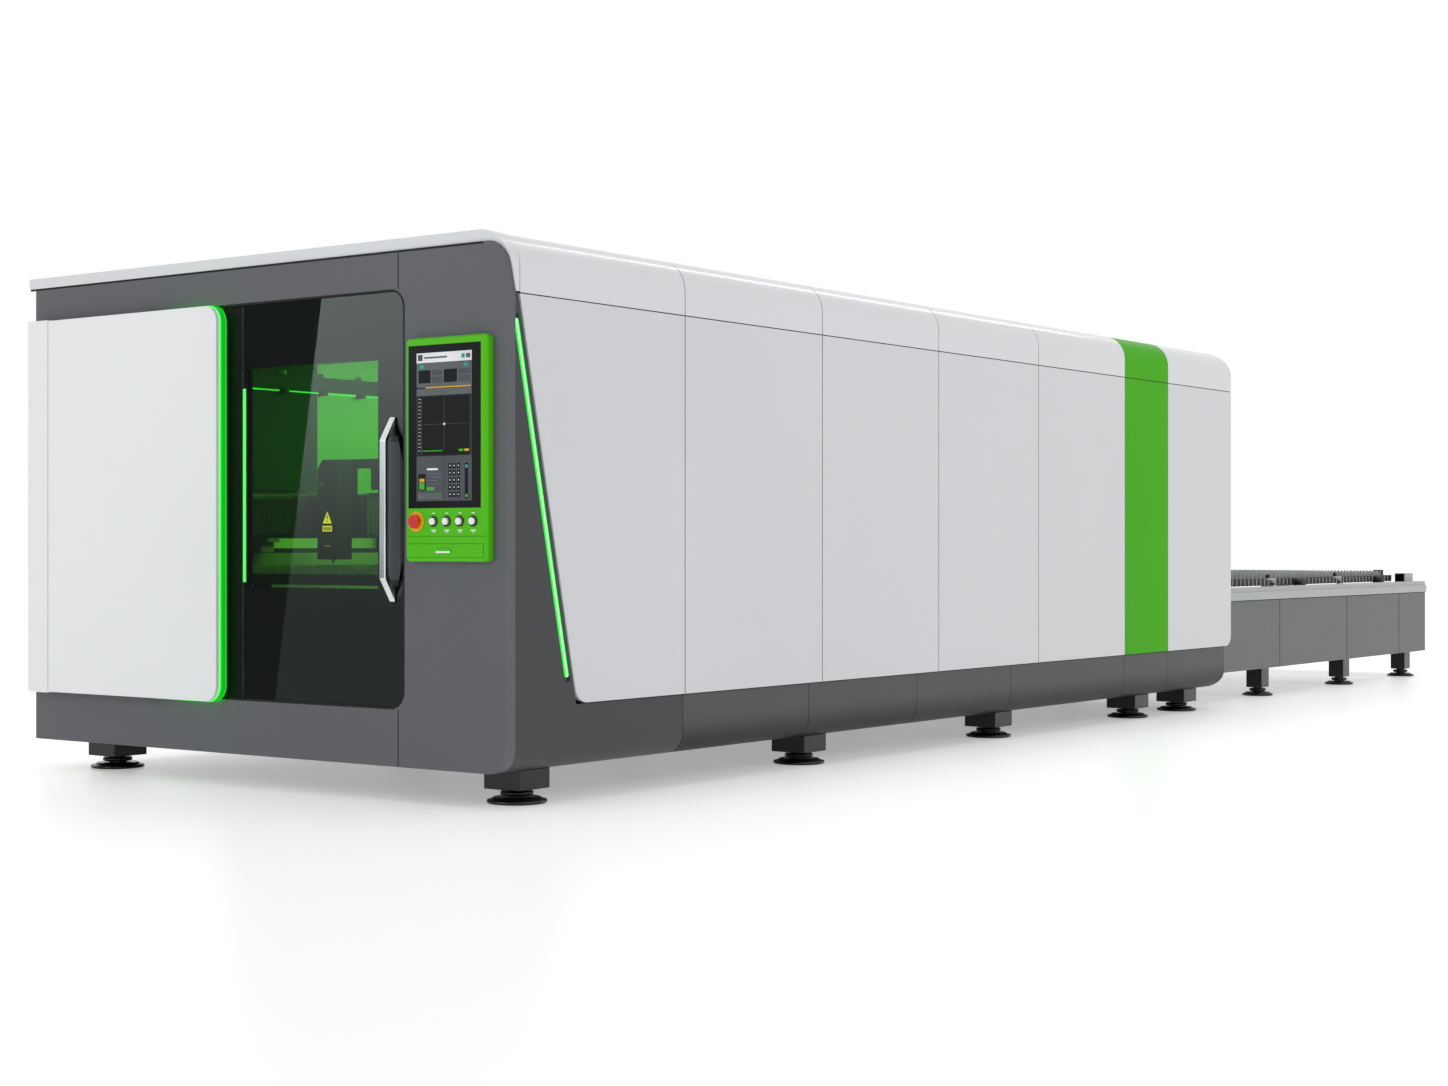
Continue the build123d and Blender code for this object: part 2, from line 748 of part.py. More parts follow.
# Door leaf: folded frame with a window, a channel for its light bar and two roller hangers
leaf_right = opening_edge + door_gap
leaf_left = leaf_right + leaf_width
leaf_low = door_sill + door_gap
leaf_high = door_head - door_gap
leaf_front = door_setback + glass_thickness
leaf_back = leaf_front + leaf_thickness
leaf_radius = opening_radius - door_gap
light_bar_y = (window_left + 3, leaf_right + glass_width - 4)
light_bar_low = 933.0
light_bar_high = 1808.0
light_bar_depth = 12.0
track_low = door_head + 10
track_height = 30.0
track_thickness = 12.0
hanger_width = 60.0
roller_radius = 15.0
hanger_places = [leaf_right + 170, leaf_left - 170]
with BuildPart() as door_leaf:
    with BuildSketch(front_plane.offset(leaf_front)):
        add(cover_outline(leaf_right, leaf_left, leaf_low, leaf_high, leaf_radius))
        with Locations(((window_left + window_right) / 2, (window_bottom + window_top) / 2)):
            RectangleRounded(
                window_left - window_right, window_top - window_bottom, 6, mode=Mode.SUBTRACT
            )
    extrude(amount=leaf_thickness)
    bar(
        (leaf_front - 1, leaf_front + light_bar_depth),
        (light_bar_y[0] - half_width - fit_gap, light_bar_y[1] - half_width + fit_gap),
        (light_bar_low - fit_gap, light_bar_high + fit_gap),
        mode=Mode.SUBTRACT,
    )
    hanger_back = portal_depth + track_thickness + 8
    roller_level = track_low + track_height + roller_radius + wheel_gap
    for place in hanger_places:
        hanger_y = (place - hanger_width / 2 - half_width, place + hanger_width / 2 - half_width)
        bar((leaf_back, hanger_back), hanger_y, (leaf_high - 70, leaf_high - 40))
        bar((hanger_back - 6, hanger_back), hanger_y, (leaf_high - 70, roller_level + 5))
        roller_mid = front_x + (portal_depth + fit_gap + hanger_back - 6) / 2
        with Locations(Location((roller_mid, near_y + place, roller_level), (0, 90, 0))):
            Cylinder(roller_radius, hanger_back - 6 - portal_depth - fit_gap)
save(door_leaf.part, "door_leaf")

with BuildPart() as door_track:
    bar(
        (portal_depth, portal_depth + track_thickness),
        (column_edge + 10 - half_width, pocket_end - 10 - half_width),
        (track_low, track_low + track_height),
    )
save(door_track.part, "door_track")

with BuildPart() as door_glass:
    with BuildSketch(front_plane.offset(door_setback)):
        add(cover_outline(leaf_right, leaf_right + glass_width, leaf_low, leaf_high, leaf_radius))
    extrude(amount=glass_thickness)
    bar(
        (door_setback - 1, leaf_front + 1),
        (light_bar_y[0] - half_width - fit_gap, light_bar_y[1] - half_width + fit_gap),
        (light_bar_low - fit_gap, light_bar_high + fit_gap),
        mode=Mode.SUBTRACT,
    )
save(door_glass.part, "door_glass")

with BuildPart() as door_light_bar:
    bar(
        (door_setback + fit_gap, leaf_front + light_bar_depth),
        (light_bar_y[0] - half_width, light_bar_y[1] - half_width),
        (light_bar_low, light_bar_high),
    )
save(door_light_bar.part, "door_light_bar")

# Handle plate: long hexagon bonded to the glass
plate_mid = (handle_top + handle_bottom) / 2 - 6
plate_face = door_setback - plate_thickness
with BuildPart() as handle_plate:
    with BuildSketch(front_plane.offset(plate_face)):
        with BuildLine():
            Polyline(
                (handle_across - 60, plate_mid - plate_height / 2 + 110),
                (handle_across - 30, plate_mid - plate_height / 2),
                (handle_across + 5, plate_mid - plate_height / 2),
                (handle_across - 60 + plate_width, plate_mid - plate_height / 2 + 110),
                (handle_across - 60 + plate_width, plate_mid + plate_height / 2 - 110),
                (handle_across + 5, plate_mid + plate_height / 2),
                (handle_across - 30, plate_mid + plate_height / 2),
                (handle_across - 60, plate_mid + plate_height / 2 - 110),
                close=True,
            )
        make_face()
    extrude(amount=plate_thickness)
    boss_low = handle_bottom + 5
    boss_high = plate_mid + plate_height / 2 - 10
    for low, high in ((boss_low, plate_mid - plate_height / 2 + 10), (boss_high, handle_top - 5)):
        boss_y = (handle_across - 15 - half_width, handle_across + 15 - half_width)
        bar((plate_face, door_setback), boss_y, (low, high))
save(handle_plate.part, "handle_plate")

# Door handle: flat chrome bar bent back to the plate at both ends
slope_share = (handle_bend**2 + handle_reach**2) ** 0.5 / handle_reach
end_rise = handle_thickness * slope_share
inner_share = (handle_reach - handle_thickness) / handle_reach
inner_rise = handle_bend * inner_share + end_rise
handle_back = plate_face
handle_face = handle_back - handle_reach
with BuildPart() as door_handle:
    with BuildSketch(side_plane.offset(handle_width / 2 - handle_across)):
        with BuildLine():
            Polyline(
                (handle_back, handle_top),
                (handle_face, handle_top - handle_bend),
                (handle_face, handle_bottom + handle_bend),
                (handle_back, handle_bottom),
                (handle_back, handle_bottom + end_rise),
                (handle_face + handle_thickness, handle_bottom + inner_rise),
                (handle_face + handle_thickness, handle_top - inner_rise),
                (handle_back, handle_top - end_rise),
                close=True,
            )
        make_face()
    extrude(amount=-handle_width)
    fillet(edges().filter_by(Axis.Y).group_by(Axis.X)[0], 24)
    fillet(edges().group_by(Axis.X)[0], 5)
save(door_handle.part, "door_handle")

# Console housing: green casting with a screen recess, a drawer tunnel and bores for the controls
front_face = -console_proud
console_radius = 22.0
console_chamfer = 9.0
groove = 4.0
tray_width = drawer_width - 28
tray_low = drawer_bottom + 10
tray_height = 38.0
screen_width = 410.0
screen_shift = 8.0
screen_mid = console_mid + screen_shift
recess = 4.0
stem_depth = 12.0
button_places = [button_first + index * button_pitch for index in range(button_count)]
stem_radius = 17.0
tunnel_y = (console_mid - tray_width / 2 - running_gap, console_mid + tray_width / 2 + running_gap)
with BuildPart() as console_housing:
    with BuildSketch(front_plane.offset(front_face)):
        with Locations((console_mid, (console_bottom + console_top) / 2)):
            RectangleRounded(console_left - console_right, console_top - console_bottom, console_radius)
    extrude(amount=console_proud)
    chamfer(faces().sort_by(Axis.X)[0].edges(), console_chamfer)
    bar(
        (0, console_depth),
        (console_right + console_frame - half_width, console_left - console_frame - half_width),
        (console_bottom + console_frame, console_top - console_frame),
    )
    with BuildSketch(front_plane.offset(front_face)):
        with Locations((screen_mid, (screen_bottom + screen_top) / 2)):
            Rectangle(screen_width + 2 * fit_gap, screen_top - screen_bottom + 2 * fit_gap)
    extrude(amount=screen_thickness + fit_gap, mode=Mode.SUBTRACT)
    with BuildSketch(front_plane.offset(front_face)):
        with Locations((console_mid, console_split - groove / 2)):
            Rectangle(console_left - console_right, groove)
        with Locations((console_mid, drawer_bottom + drawer_height / 2)):
            Rectangle(drawer_width + 2 * running_gap, drawer_height + 2 * running_gap)
    extrude(amount=recess, mode=Mode.SUBTRACT)
    bar(
        (front_face, console_depth - 10),
        (tunnel_y[0] - half_width, tunnel_y[1] - half_width),
        (tray_low - running_gap, tray_low + tray_height + running_gap),
        mode=Mode.SUBTRACT,
    )
    with BuildSketch(front_plane.offset(front_face)):
        with Locations([(place, button_level) for place in button_places]):
            Circle(button_radius + running_gap)
        with Locations((stop_across, button_level)):
            Circle(stem_radius + running_gap)
    extrude(amount=stem_depth, mode=Mode.SUBTRACT)
save(console_housing.part, "console_housing")

with BuildPart() as console_screen:
    with BuildSketch(front_plane.offset(front_face)):
        with Locations((screen_mid, (screen_bottom + screen_top) / 2)):
            RectangleRounded(screen_width, screen_top - screen_bottom, 3)
    extrude(amount=screen_thickness)
save(console_screen.part, "console_screen")

# Keyboard drawer: face plate with a pull, and an open tray behind it
face_proud = 3.0
pull_width = 83.0
tray_length = 185.0
with BuildPart() as console_drawer:
    drawer_y = (console_mid - drawer_width / 2 - half_width, console_mid + drawer_width / 2 - half_width)
    face_x = (front_face - face_proud, front_face + recess - fit_gap)
    bar(face_x, drawer_y, (drawer_bottom, drawer_bottom + drawer_height))
    tray_y = (console_mid - tray_width / 2 - half_width, console_mid + tray_width / 2 - half_width)
    bar((face_x[1], face_x[1] + tray_length), tray_y, (tray_low, tray_low + tray_height))
    bar(
        (face_x[1] + drawer_wall, face_x[1] + tray_length - drawer_wall),
        (tray_y[0] + drawer_wall, tray_y[1] - drawer_wall),
        (tray_low + drawer_wall, tray_low + tray_height + 1),
        mode=Mode.SUBTRACT,
    )
    pull_level = drawer_bottom + drawer_height * 0.55
    pull_y = (console_mid + 7 - pull_width / 2 - half_width, console_mid + 7 + pull_width / 2 - half_width)
    bar((face_x[0] - 6, face_x[0]), pull_y, (pull_level - 5, pull_level + 5))
save(console_drawer.part, "console_drawer")

# Button collars, push buttons, and the emergency stop with its ring
with BuildPart() as button_collars:
    with BuildSketch(front_plane.offset(front_face - collar_height)):
        with Locations([(place, button_level) for place in button_places]):
            Circle(collar_radius)
            Circle(button_radius + running_gap, mode=Mode.SUBTRACT)
    extrude(amount=collar_height)
save(button_collars.part, "button_collars")

for index, place in enumerate(button_places):
    with BuildPart() as button:
        with BuildSketch(front_plane.offset(front_face - collar_height - button_height)):
            with Locations((place, button_level)):
                Circle(button_radius)
        extrude(amount=collar_height + button_height + stem_depth - button_travel - running_gap)
        chamfer(faces().sort_by(Axis.X)[0].edges(), 2)
    save(button.part, f"button_{index + 1}")

with BuildPart() as stop_ring:
    with BuildSketch(front_plane.offset(front_face - recess)):
        with Locations((stop_across, button_level)):
            Circle(stop_ring_radius)
            Circle(stem_radius + running_gap, mode=Mode.SUBTRACT)
    extrude(amount=recess)
save(stop_ring.part, "stop_ring")

stop_head = 14.0
with BuildPart() as stop_button:
    stop_back = front_face - recess - stop_travel - running_gap
    with BuildSketch(front_plane.offset(stop_back - stop_head)):
        with Locations((stop_across, button_level)):
            Circle(stop_cap_radius)
    extrude(amount=stop_head)
    fillet(faces().sort_by(Axis.X)[0].edges(), 5)
    with BuildSketch(front_plane.offset(stop_back)):
        with Locations((stop_across, button_level)):
            Circle(stem_radius)
    extrude(amount=front_face + stem_depth - stop_travel - running_gap - stop_back)
save(stop_button.part, "stop_button")

# Machine bed: welded side beams with stepped pallet ledges, cross members and legs over the feet
leg_width = 150.0
sill_height = 170.0
ledge_start = 600.0
ledge_base = lower_rail - 15.0
table_start = enclosure_length + 10.0
foot_lines = (near_foot_inset - half_width, half_width - far_foot_inset)
with BuildPart() as machine_bed:
    both_sides((bed_start, bed_end), (beam_inner, beam_outer), (bed_bottom, bed_top))
    both_sides((ledge_start, table_start), (rail_inner, beam_inner), (ledge_base, upper_rail))
    both_sides((ledge_start, table_start), (lower_track - 5, rail_inner), (ledge_base, lower_rail))
    cross_step = (bed_end - bed_start - cross_length) / (cross_count - 1)
    for index in range(cross_count):
        cross_x = bed_start + index * cross_step
        cross_span = (cross_x, cross_x + cross_length)
        bar(cross_span, (-beam_inner, beam_inner), (bed_bottom, bed_bottom + cross_height))
    sill = (panel_bottom + seam_gap, panel_bottom + sill_height)
    both_sides((portal_depth, bed_start), (beam_inner, beam_outer), sill)
    both_sides((bed_end, wall_back), (beam_inner, beam_outer), sill)
    for seam in post_seams:
        both_sides((seam - post / 2, seam + post / 2), (beam_outer, beam_outer + outrigger), sill)
    for station in foot_stations:
        for line in foot_lines:
            leg_x = (station - foot_block / 2 + 20, station + foot_block / 2 - 20)
            bar(leg_x, (line - leg_width / 2, line + leg_width / 2), (skirt_bottom, bed_bottom))
save(machine_bed.part, "machine_bed")

# X rails and racks on the bed
rail_line = (beam_inner + beam_outer) / 2
rail_end = pallet_start + pallet_length + 650.0
rack_offset = 52.0
rack_width = 25.0
with BuildPart() as x_rails:
    both_sides(
        (bed_start + 60, rail_end),
        (rail_line - rail_width / 2, rail_line + rail_width / 2),
        (bed_top, bed_top + rail_height),
    )
    both_sides(
        (bed_start + 60, rail_end),
        (rail_line + rack_offset - rack_width / 2, rail_line + rack_offset + rack_width / 2),
        (bed_top, bed_top + rail_height - 4),
    )
save(x_rails.part, "x_rails")

# Gantry: end carriages on the rails and a hollow beam across them
block_length = 90.0
block_width = 70.0
block_skirt = 20.0
carriage_x = (gantry_front - 75, gantry_front + gantry_depth + 75)
plate_level = gantry_bottom - 20.0
block_low = bed_top + rail_height - block_skirt
with BuildPart() as gantry_carriages:
    both_sides(carriage_x, (beam_inner + 20, beam_outer - 5), (plate_level, gantry_bottom))
    for start in (carriage_x[0] + 15, carriage_x[1] - 15 - block_length):
        block_x = (start, start + block_length)
        block_y = (rail_line - block_width / 2, rail_line + block_width / 2)
        both_sides(block_x, block_y, (block_low, plate_level))
        for side in (-1, 1):
            groove_half = rail_width / 2 + bearing_gap
            groove_y = (side * rail_line - groove_half, side * rail_line + groove_half)
            groove_z = (block_low - 1, bed_top + rail_height + bearing_gap)
            bar((start - 1, start + block_length + 1), groove_y, groove_z, mode=Mode.SUBTRACT)
save(gantry_carriages.part, "gantry_carriages")

beam_wall = 12.0
gantry_back = gantry_front + gantry_depth
flag_thickness = 10.0
bellows_depth = 40.0
bellows_back = gantry_front - rail_height - 5.0
bellows_front = bellows_back - bellows_depth
with BuildPart() as gantry_beam:
    bar((gantry_front, gantry_back), (-beam_outer, beam_outer), (gantry_bottom, gantry_top))
    bar(
        (gantry_front + beam_wall, gantry_back - beam_wall),
        (-beam_outer - 1, beam_outer + 1),
        (gantry_bottom + beam_wall, gantry_top - beam_wall),
        mode=Mode.SUBTRACT,
    )
    flag_y = (beam_outer, beam_outer + flag_thickness)
    both_sides((bellows_front - 3, gantry_back), flag_y, (gantry_bottom, gantry_top))
save(gantry_beam.part, "gantry_beam")

y_rail_levels = (gantry_bottom + 55, gantry_top - 55)
y_rail_half = rail_height / 2
with BuildPart() as y_rails:
    for level in y_rail_levels:
        span = beam_outer - 30
        rail_z = (level - y_rail_half, level + y_rail_half)
        bar((gantry_front - rail_height, gantry_front), (-span, span), rail_z)
save(y_rails.part, "y_rails")

# Bellows on both sides of the head: pleated covers with evenly spaced folds
fold_depth = 14.0
head_low = head_across - carriage_width / 2
head_high = head_across + carriage_width / 2


def bellows(low, high, folds):
    """One bellows between two places across the machine."""
    pitch = (high - low) / folds
    points = [(bellows_back, low)]
    for index in range(folds):
        points.append((bellows_front + fold_depth, low + index * pitch))
        points.append((bellows_front, low + (index + 0.5) * pitch))
    points.append((bellows_front + fold_depth, high))
    points.append((bellows_back, high))
    with BuildPart() as pleats:
        with BuildSketch(Plane(origin=(front_x, mid_y, gantry_bottom + 3))):
            with BuildLine():
                Polyline(*points, close=True)
            make_face()
        extrude(amount=gantry_top - gantry_bottom - 6)
    return pleats.part


bellows_pitch = 60.0
near_folds = round((head_low + beam_outer) / bellows_pitch)
far_folds = round((beam_outer - head_high) / bellows_pitch)
near_bellows = bellows(fit_gap - beam_outer, head_low - fit_gap, near_folds)
far_bellows = bellows(head_high + fit_gap, beam_outer - fit_gap, far_folds)
with BuildPart() as beam_bellows:
    add([near_bellows, far_bellows])
save(beam_bellows.part, "beam_bellows")

# Head carriage: plate with bearing blocks on the beam's rails, a post, the arm and its motor box
plate_x = (bellows_front - 25, bellows_front + 15)
arm_y = (head_across - 335, head_across + 20)
arm_low = head_top - 42
motor_y = (head_across - 265, head_across - 195)
with BuildPart() as head_carriage:
    bar(plate_x, (head_low, head_high), (gantry_bottom + 13, gantry_top - 13))
    for level in y_rail_levels:
        grip = y_rail_half + 15
        bar((plate_x[1], gantry_front - 5), (head_low + 20, head_high - 20), (level - grip, level + grip))
        bar(
            (gantry_front - rail_height - bearing_gap, gantry_front),
            (head_low, head_high),
            (level - y_rail_half - bearing_gap, level + y_rail_half + bearing_gap),
            mode=Mode.SUBTRACT,
        )
    bar(plate_x, (head_across - 65, head_across + 65), (gantry_top - 13, arm_low))
    bar((plate_x[0], plate_x[1]), arm_y, (arm_low, head_top + 4))
    bar((plate_x[0], plate_x[1] + 35), motor_y, (gantry_top + 12, arm_low))
save(head_carriage.part, "head_carriage")

# Z slide with the cutting head's body, and the nozzle below it
slide_back = plate_x[0] - bearing_gap
slide_front = slide_back - 40
body_x = head_front + 40
body_radius = 30.0
body_low = head_bottom + 30
nozzle_tip = upper_tips + 14.0
cover_wall = 3.0
cover_back = slide_back - 4
with BuildPart() as z_slide:
    bar((slide_front, slide_back), (head_across - 55, head_across + 55), (body_low + 30, head_top - 80))
    with Locations((front_x + body_x, mid_y + head_across, (body_low + head_top - 120) / 2)):
        Cylinder(body_radius, head_top - 120 - body_low)
    for level in (body_low + 140, head_top - 120):
        lug_y = (head_across - head_width / 2 + cover_wall, head_across + head_width / 2 - cover_wall)
        bar((slide_front, slide_back - 20), lug_y, (level - 15, level + 15))
save(z_slide.part, "z_slide")

nozzle_plane = Plane(origin=(front_x + body_x, mid_y + head_across, 0), x_dir=(1, 0, 0), z_dir=(0, -1, 0))
with BuildPart() as cutting_nozzle:
    with BuildSketch(nozzle_plane):
        with BuildLine():
            Polyline(
                (0, nozzle_tip),
                (3, nozzle_tip),
                (9, nozzle_tip + 16),
                (16, nozzle_tip + 22),
                (16, nozzle_tip + 30),
                (body_radius - 6, nozzle_tip + 36),
                (body_radius - 6, body_low),
                (0, body_low),
                close=True,
            )
        make_face()
    revolve(axis=Axis((front_x + body_x, mid_y + head_across, 0), (0, 0, 1)))
save(cutting_nozzle.part, "cutting_nozzle")

# Head cover: folded hood, open at the back and below, with a cut upper corner
cover_cut = 34.0
with BuildPart() as head_cover:
    with BuildSketch(front_plane.offset(head_front)):
        hood_right = head_across - head_width / 2 + half_width
        hood_left = head_across + head_width / 2 + half_width
        with BuildLine():
            Polyline(
                (hood_right, head_bottom),
                (hood_left, head_bottom),
                (hood_left, head_top - 1.4 * cover_cut),
                (hood_left - cover_cut, head_top),
                (hood_right, head_top),
                close=True,
            )
        make_face()
    extrude(amount=cover_back - head_front)
    with BuildSketch(front_plane.offset(head_front + cover_wall)):
        with BuildLine():
            Polyline(
                (hood_right + cover_wall, head_bottom - 1),
                (hood_left - cover_wall, head_bottom - 1),
                (hood_left - cover_wall, head_top - 1.4 * cover_cut - cover_wall / 2),
                (hood_left - cover_cut - cover_wall / 2, head_top - cover_wall),
                (hood_right + cover_wall, head_top - cover_wall),
                close=True,
            )
        make_face()
    extrude(amount=cover_back, mode=Mode.SUBTRACT)
save(head_cover.part, "head_cover")

# Exchange table: rail tubes with a rail head on top, a lower ledge and hooded end stops
table_x = (table_start, table_end)
rail_low = upper_rail - rail_tube_height
rail_shoulder = upper_rail - rail_head_height
stop_length = 208.0
stop_height = 98.0
stop_width = 85.0
with BuildPart() as table_rails:
    both_sides(table_x, (rail_inner, rail_outer), (rail_low, rail_shoulder))
    both_sides(table_x, (rail_inner, rail_outer - rail_setback), (rail_shoulder, upper_rail))
    both_sides(table_x, (lower_track - 5, rail_inner), (ledge_base, lower_rail))
    hood_x = (table_end - 40 - stop_length, table_end - 40)
    for side in (-1, 1):
        hood_y = sorted((side * rail_inner, side * (rail_inner - stop_width)))
        hollow_y = (hood_y[0] + sheet, hood_y[1] - sheet)
        bar(hood_x, hood_y, (lower_rail, lower_rail + stop_height))
        bar(
            (hood_x[0] - 1, hood_x[1] - sheet),
            hollow_y,
            (lower_rail, lower_rail + stop_height - sheet),
            mode=Mode.SUBTRACT,
        )
save(table_rails.part, "table_rails")

# Table frame: posts under the rails with cross members, and a drive cross member at the far end
table_stations = [table_start + foot_block / 2] + table_foot_stations
post_outer = rail_outer - 35.0
post_inner = post_outer - 130.0
table_beam = (bed_bottom, bed_bottom + 100)
drive_x = table_end - 120.0
drive_seat = shaft_level - 130.0
with BuildPart() as table_frame:
    for station in table_stations:
        post_x = (station - table_post / 2, station + table_post / 2)
        both_sides(post_x, (post_inner, post_outer), (bed_bottom, rail_low))
        bar((station - 40, station + 40), (-post_inner, post_inner), table_beam)
    both_sides((table_start, table_end - pan_depth), (post_outer - 60, post_outer), table_beam)
    bar((drive_x - 80, drive_x + 80), (-post_outer, post_outer), (drive_seat - 60, drive_seat))
save(table_frame.part, "table_frame")

# Table side panels and the end panel
inner_seams = [enclosure_length + share * table_length for share in table_seam_shares]
table_seams = [table_start] + inner_seams + [table_end]
table_levels = (table_panel_bottom, rail_low - seam_gap)
table_near = side_plane.offset(post_outer + pan_depth - half_width)
table_far = far_plane.offset(post_outer + pan_depth - half_width)
end_plane = Plane(origin=(front_x + table_end, mid_y, 0), x_dir=(0, 1, 0), z_dir=(1, 0, 0))
table_pans = [pan(end_plane, (fit_gap - post_outer, post_outer - fit_gap), table_levels)]
for start, end in zip(table_seams[:-1], table_seams[1:]):
    table_pans.append(pan(table_near, (start, end - seam_gap), table_levels))
    table_pans.append(pan(table_far, (seam_gap - end, -start), table_levels))
with BuildPart() as table_panels:
    add(table_pans)
save(table_panels.part, "table_panels")

# Exchange drive: gearbox, bearings, idlers at the door end, and the guide brackets on the rails
idler_x = pallet_start + 50.0
bearing_y = (chain_across + 16, chain_across + 36)
bracket_stations = [enclosure_length + share * table_length for share in bracket_shares]
shaft_radius = 20.0
shaft_clear = 0.5
idler_gap = 0.3
with BuildPart() as exchange_drive:
    bar((drive_x - 80, drive_x + 80), (-130, 130), (drive_seat, shaft_level + 70))
    with Locations(Location((front_x + drive_x - 230, mid_y, shaft_level - 30), (0, 90, 0))):
        Cylinder(70, 300)
    both_sides((drive_x - 50, drive_x + 50), bearing_y, (drive_seat, shaft_level + 60))
    bore_y = (-bearing_y[1] - 1, bearing_y[1] + 1)
    disc_across(drive_x, bore_y, shaft_level, shaft_radius + shaft_clear, Mode.SUBTRACT)
    hanger_x = (idler_x - 40, idler_x + 40)
    both_sides(hanger_x, (bearing_y[0], bearing_y[1] + 24), (shaft_level - 50, ledge_base))
    for side in (-1, 1):
        disc_y = sorted((side * (chain_across - 6), side * (chain_across + 6)))
        stub_y = sorted((side * (chain_across - 6), side * bearing_y[0]))
        disc_across(idler_x, disc_y, shaft_level, sprocket_radius - idler_gap)
        disc_across(idler_x, stub_y, shaft_level, shaft_radius)
    for station in bracket_stations:
        foot_y = (rail_outer - rail_setback - 28, rail_outer - rail_setback - 2)
        stem_y = (foot_y[0] + 4, foot_y[1] - 4)
        both_sides((station - 40, station + 40), foot_y, (upper_rail, upper_rail + 10))
        both_sides((station - 10, station + 10), stem_y, (upper_rail + 10, upper_rail + 48))
        both_sides((station - 120, station + 20), stem_y, (upper_rail + 48, upper_rail + 62))
        for side in (-1, 1):
            knob_y = mid_y + side * (foot_y[0] + foot_y[1]) / 2
            with Locations((front_x + station - 105, knob_y, upper_rail + 78)):
                Cylinder(13, 32)
save(exchange_drive.part, "exchange_drive")

# Drive shaft with its two sprockets, and the chain loops
with BuildPart() as drive_shaft:
    disc_across(drive_x, (-bearing_y[1], bearing_y[1]), shaft_level, shaft_radius)
    for side in (-1, 1):
        disc_y = sorted((side * (chain_across - 6), side * (chain_across + 6)))
        disc_across(drive_x, disc_y, shaft_level, sprocket_radius)
save(drive_shaft.part, "drive_shaft")

chain_span = drive_x - idler_x
chain_mid = (drive_x + idler_x) / 2
with BuildPart() as drive_chains:
    for side in (-1, 1):
        with BuildSketch(mid_plane.offset(chain_width / 2 - side * chain_across)):
            with Locations((chain_mid, shaft_level)):
                SlotCenterToCenter(chain_span, 2 * (sprocket_radius + chain_thickness))
                SlotCenterToCenter(chain_span, 2 * (sprocket_radius + wheel_gap), mode=Mode.SUBTRACT)
        extrude(amount=-chain_width)
save(drive_chains.part, "drive_chains")

# Slat: a thin strip with a row of pointed teeth, standing on edge across the pallet
slat_half = pallet_half - tube_width - 2
slat_low = pallet_height - slat_height
comb_thickness = 6.0
comb_clear = 8.0
lug_height = 4.0
slat_pitch = (pallet_length - 2 * tube_width) / slat_count
wheel_places = [400.0, pallet_length / 2, pallet_length - 400.0]


def slat_set(start, tips):
    """All slats of one pallet."""
    tooth = 2 * slat_half / tooth_count
    points = [(-slat_half, tips - slat_height)]
    for index in range(tooth_count):
        points.append((-slat_half + index * tooth, tips - tooth_depth))
        points.append((-slat_half + (index + 0.5) * tooth, tips))
    points.append((slat_half, tips - tooth_depth))
    points.append((slat_half, tips - slat_height))
    first = start + tube_width + slat_pitch / 2
    plane = Plane(origin=(front_x + first - slat_thickness / 2, mid_y, 0), x_dir=(0, 1, 0), z_dir=(1, 0, 0))
    with BuildPart() as slat:
        with BuildSketch(plane):
            with BuildLine():
                Polyline(*points, close=True)
            make_face()
        extrude(amount=slat_thickness)
    with BuildPart() as row:
        with Locations([(index * slat_pitch, 0, 0) for index in range(slat_count)]):
            add(slat.part)
    return row.part


def comb_plate(start, low, plane):
    """Comb that holds the slats' ends: an upright strip with one slot for each slat."""
    first_edge = start + tube_width
    last_edge = start + pallet_length - tube_width
    slot_half = slat_thickness / 2 + fit_gap
    points = [(first_edge, low), (first_edge, low + tube_height)]
    for index in range(slat_count):
        place = first_edge + (index + 0.5) * slat_pitch
        points.append((place - slot_half, low + tube_height))
        points.append((place - slot_half, low + slat_low))
        points.append((place + slot_half, low + slat_low))
        points.append((place + slot_half, low + tube_height))
    points += [(last_edge, low + tube_height), (last_edge, low)]
    with BuildPart() as comb:
        with BuildSketch(plane):
            with BuildLine():
                Polyline(*points, close=True)
            make_face()
        extrude(amount=-comb_thickness)
    return comb.part


def pallet_frame(start, tips):
    """Adds a pallet's welded frame to the active part: side tubes, end tubes, slat seats and combs."""
    low = tips - pallet_height
    end = start + pallet_length
    both_sides((start, end), (pallet_half - tube_width, pallet_half), (low, low + tube_height))
    cross_y = (tube_width - pallet_half, pallet_half - tube_width)
    for edge in (start, end - tube_width):
        bar((edge, edge + tube_width), cross_y, (low, low + tube_height))
    for share in (0.25, 0.5, 0.75):
        seat = start + share * pallet_length
        bar((seat - 30, seat + 30), cross_y, (low, low + slat_low))
    comb_outer = pallet_half - tube_width - comb_clear
    add(comb_plate(start, low, mid_plane.offset(comb_outer)))
    add(comb_plate(start, low, mid_plane.offset(comb_thickness - comb_outer)))
    both_sides((end - 52, end - 8), (comb_outer - 70, comb_outer), (low + tube_height, tips + lug_height))


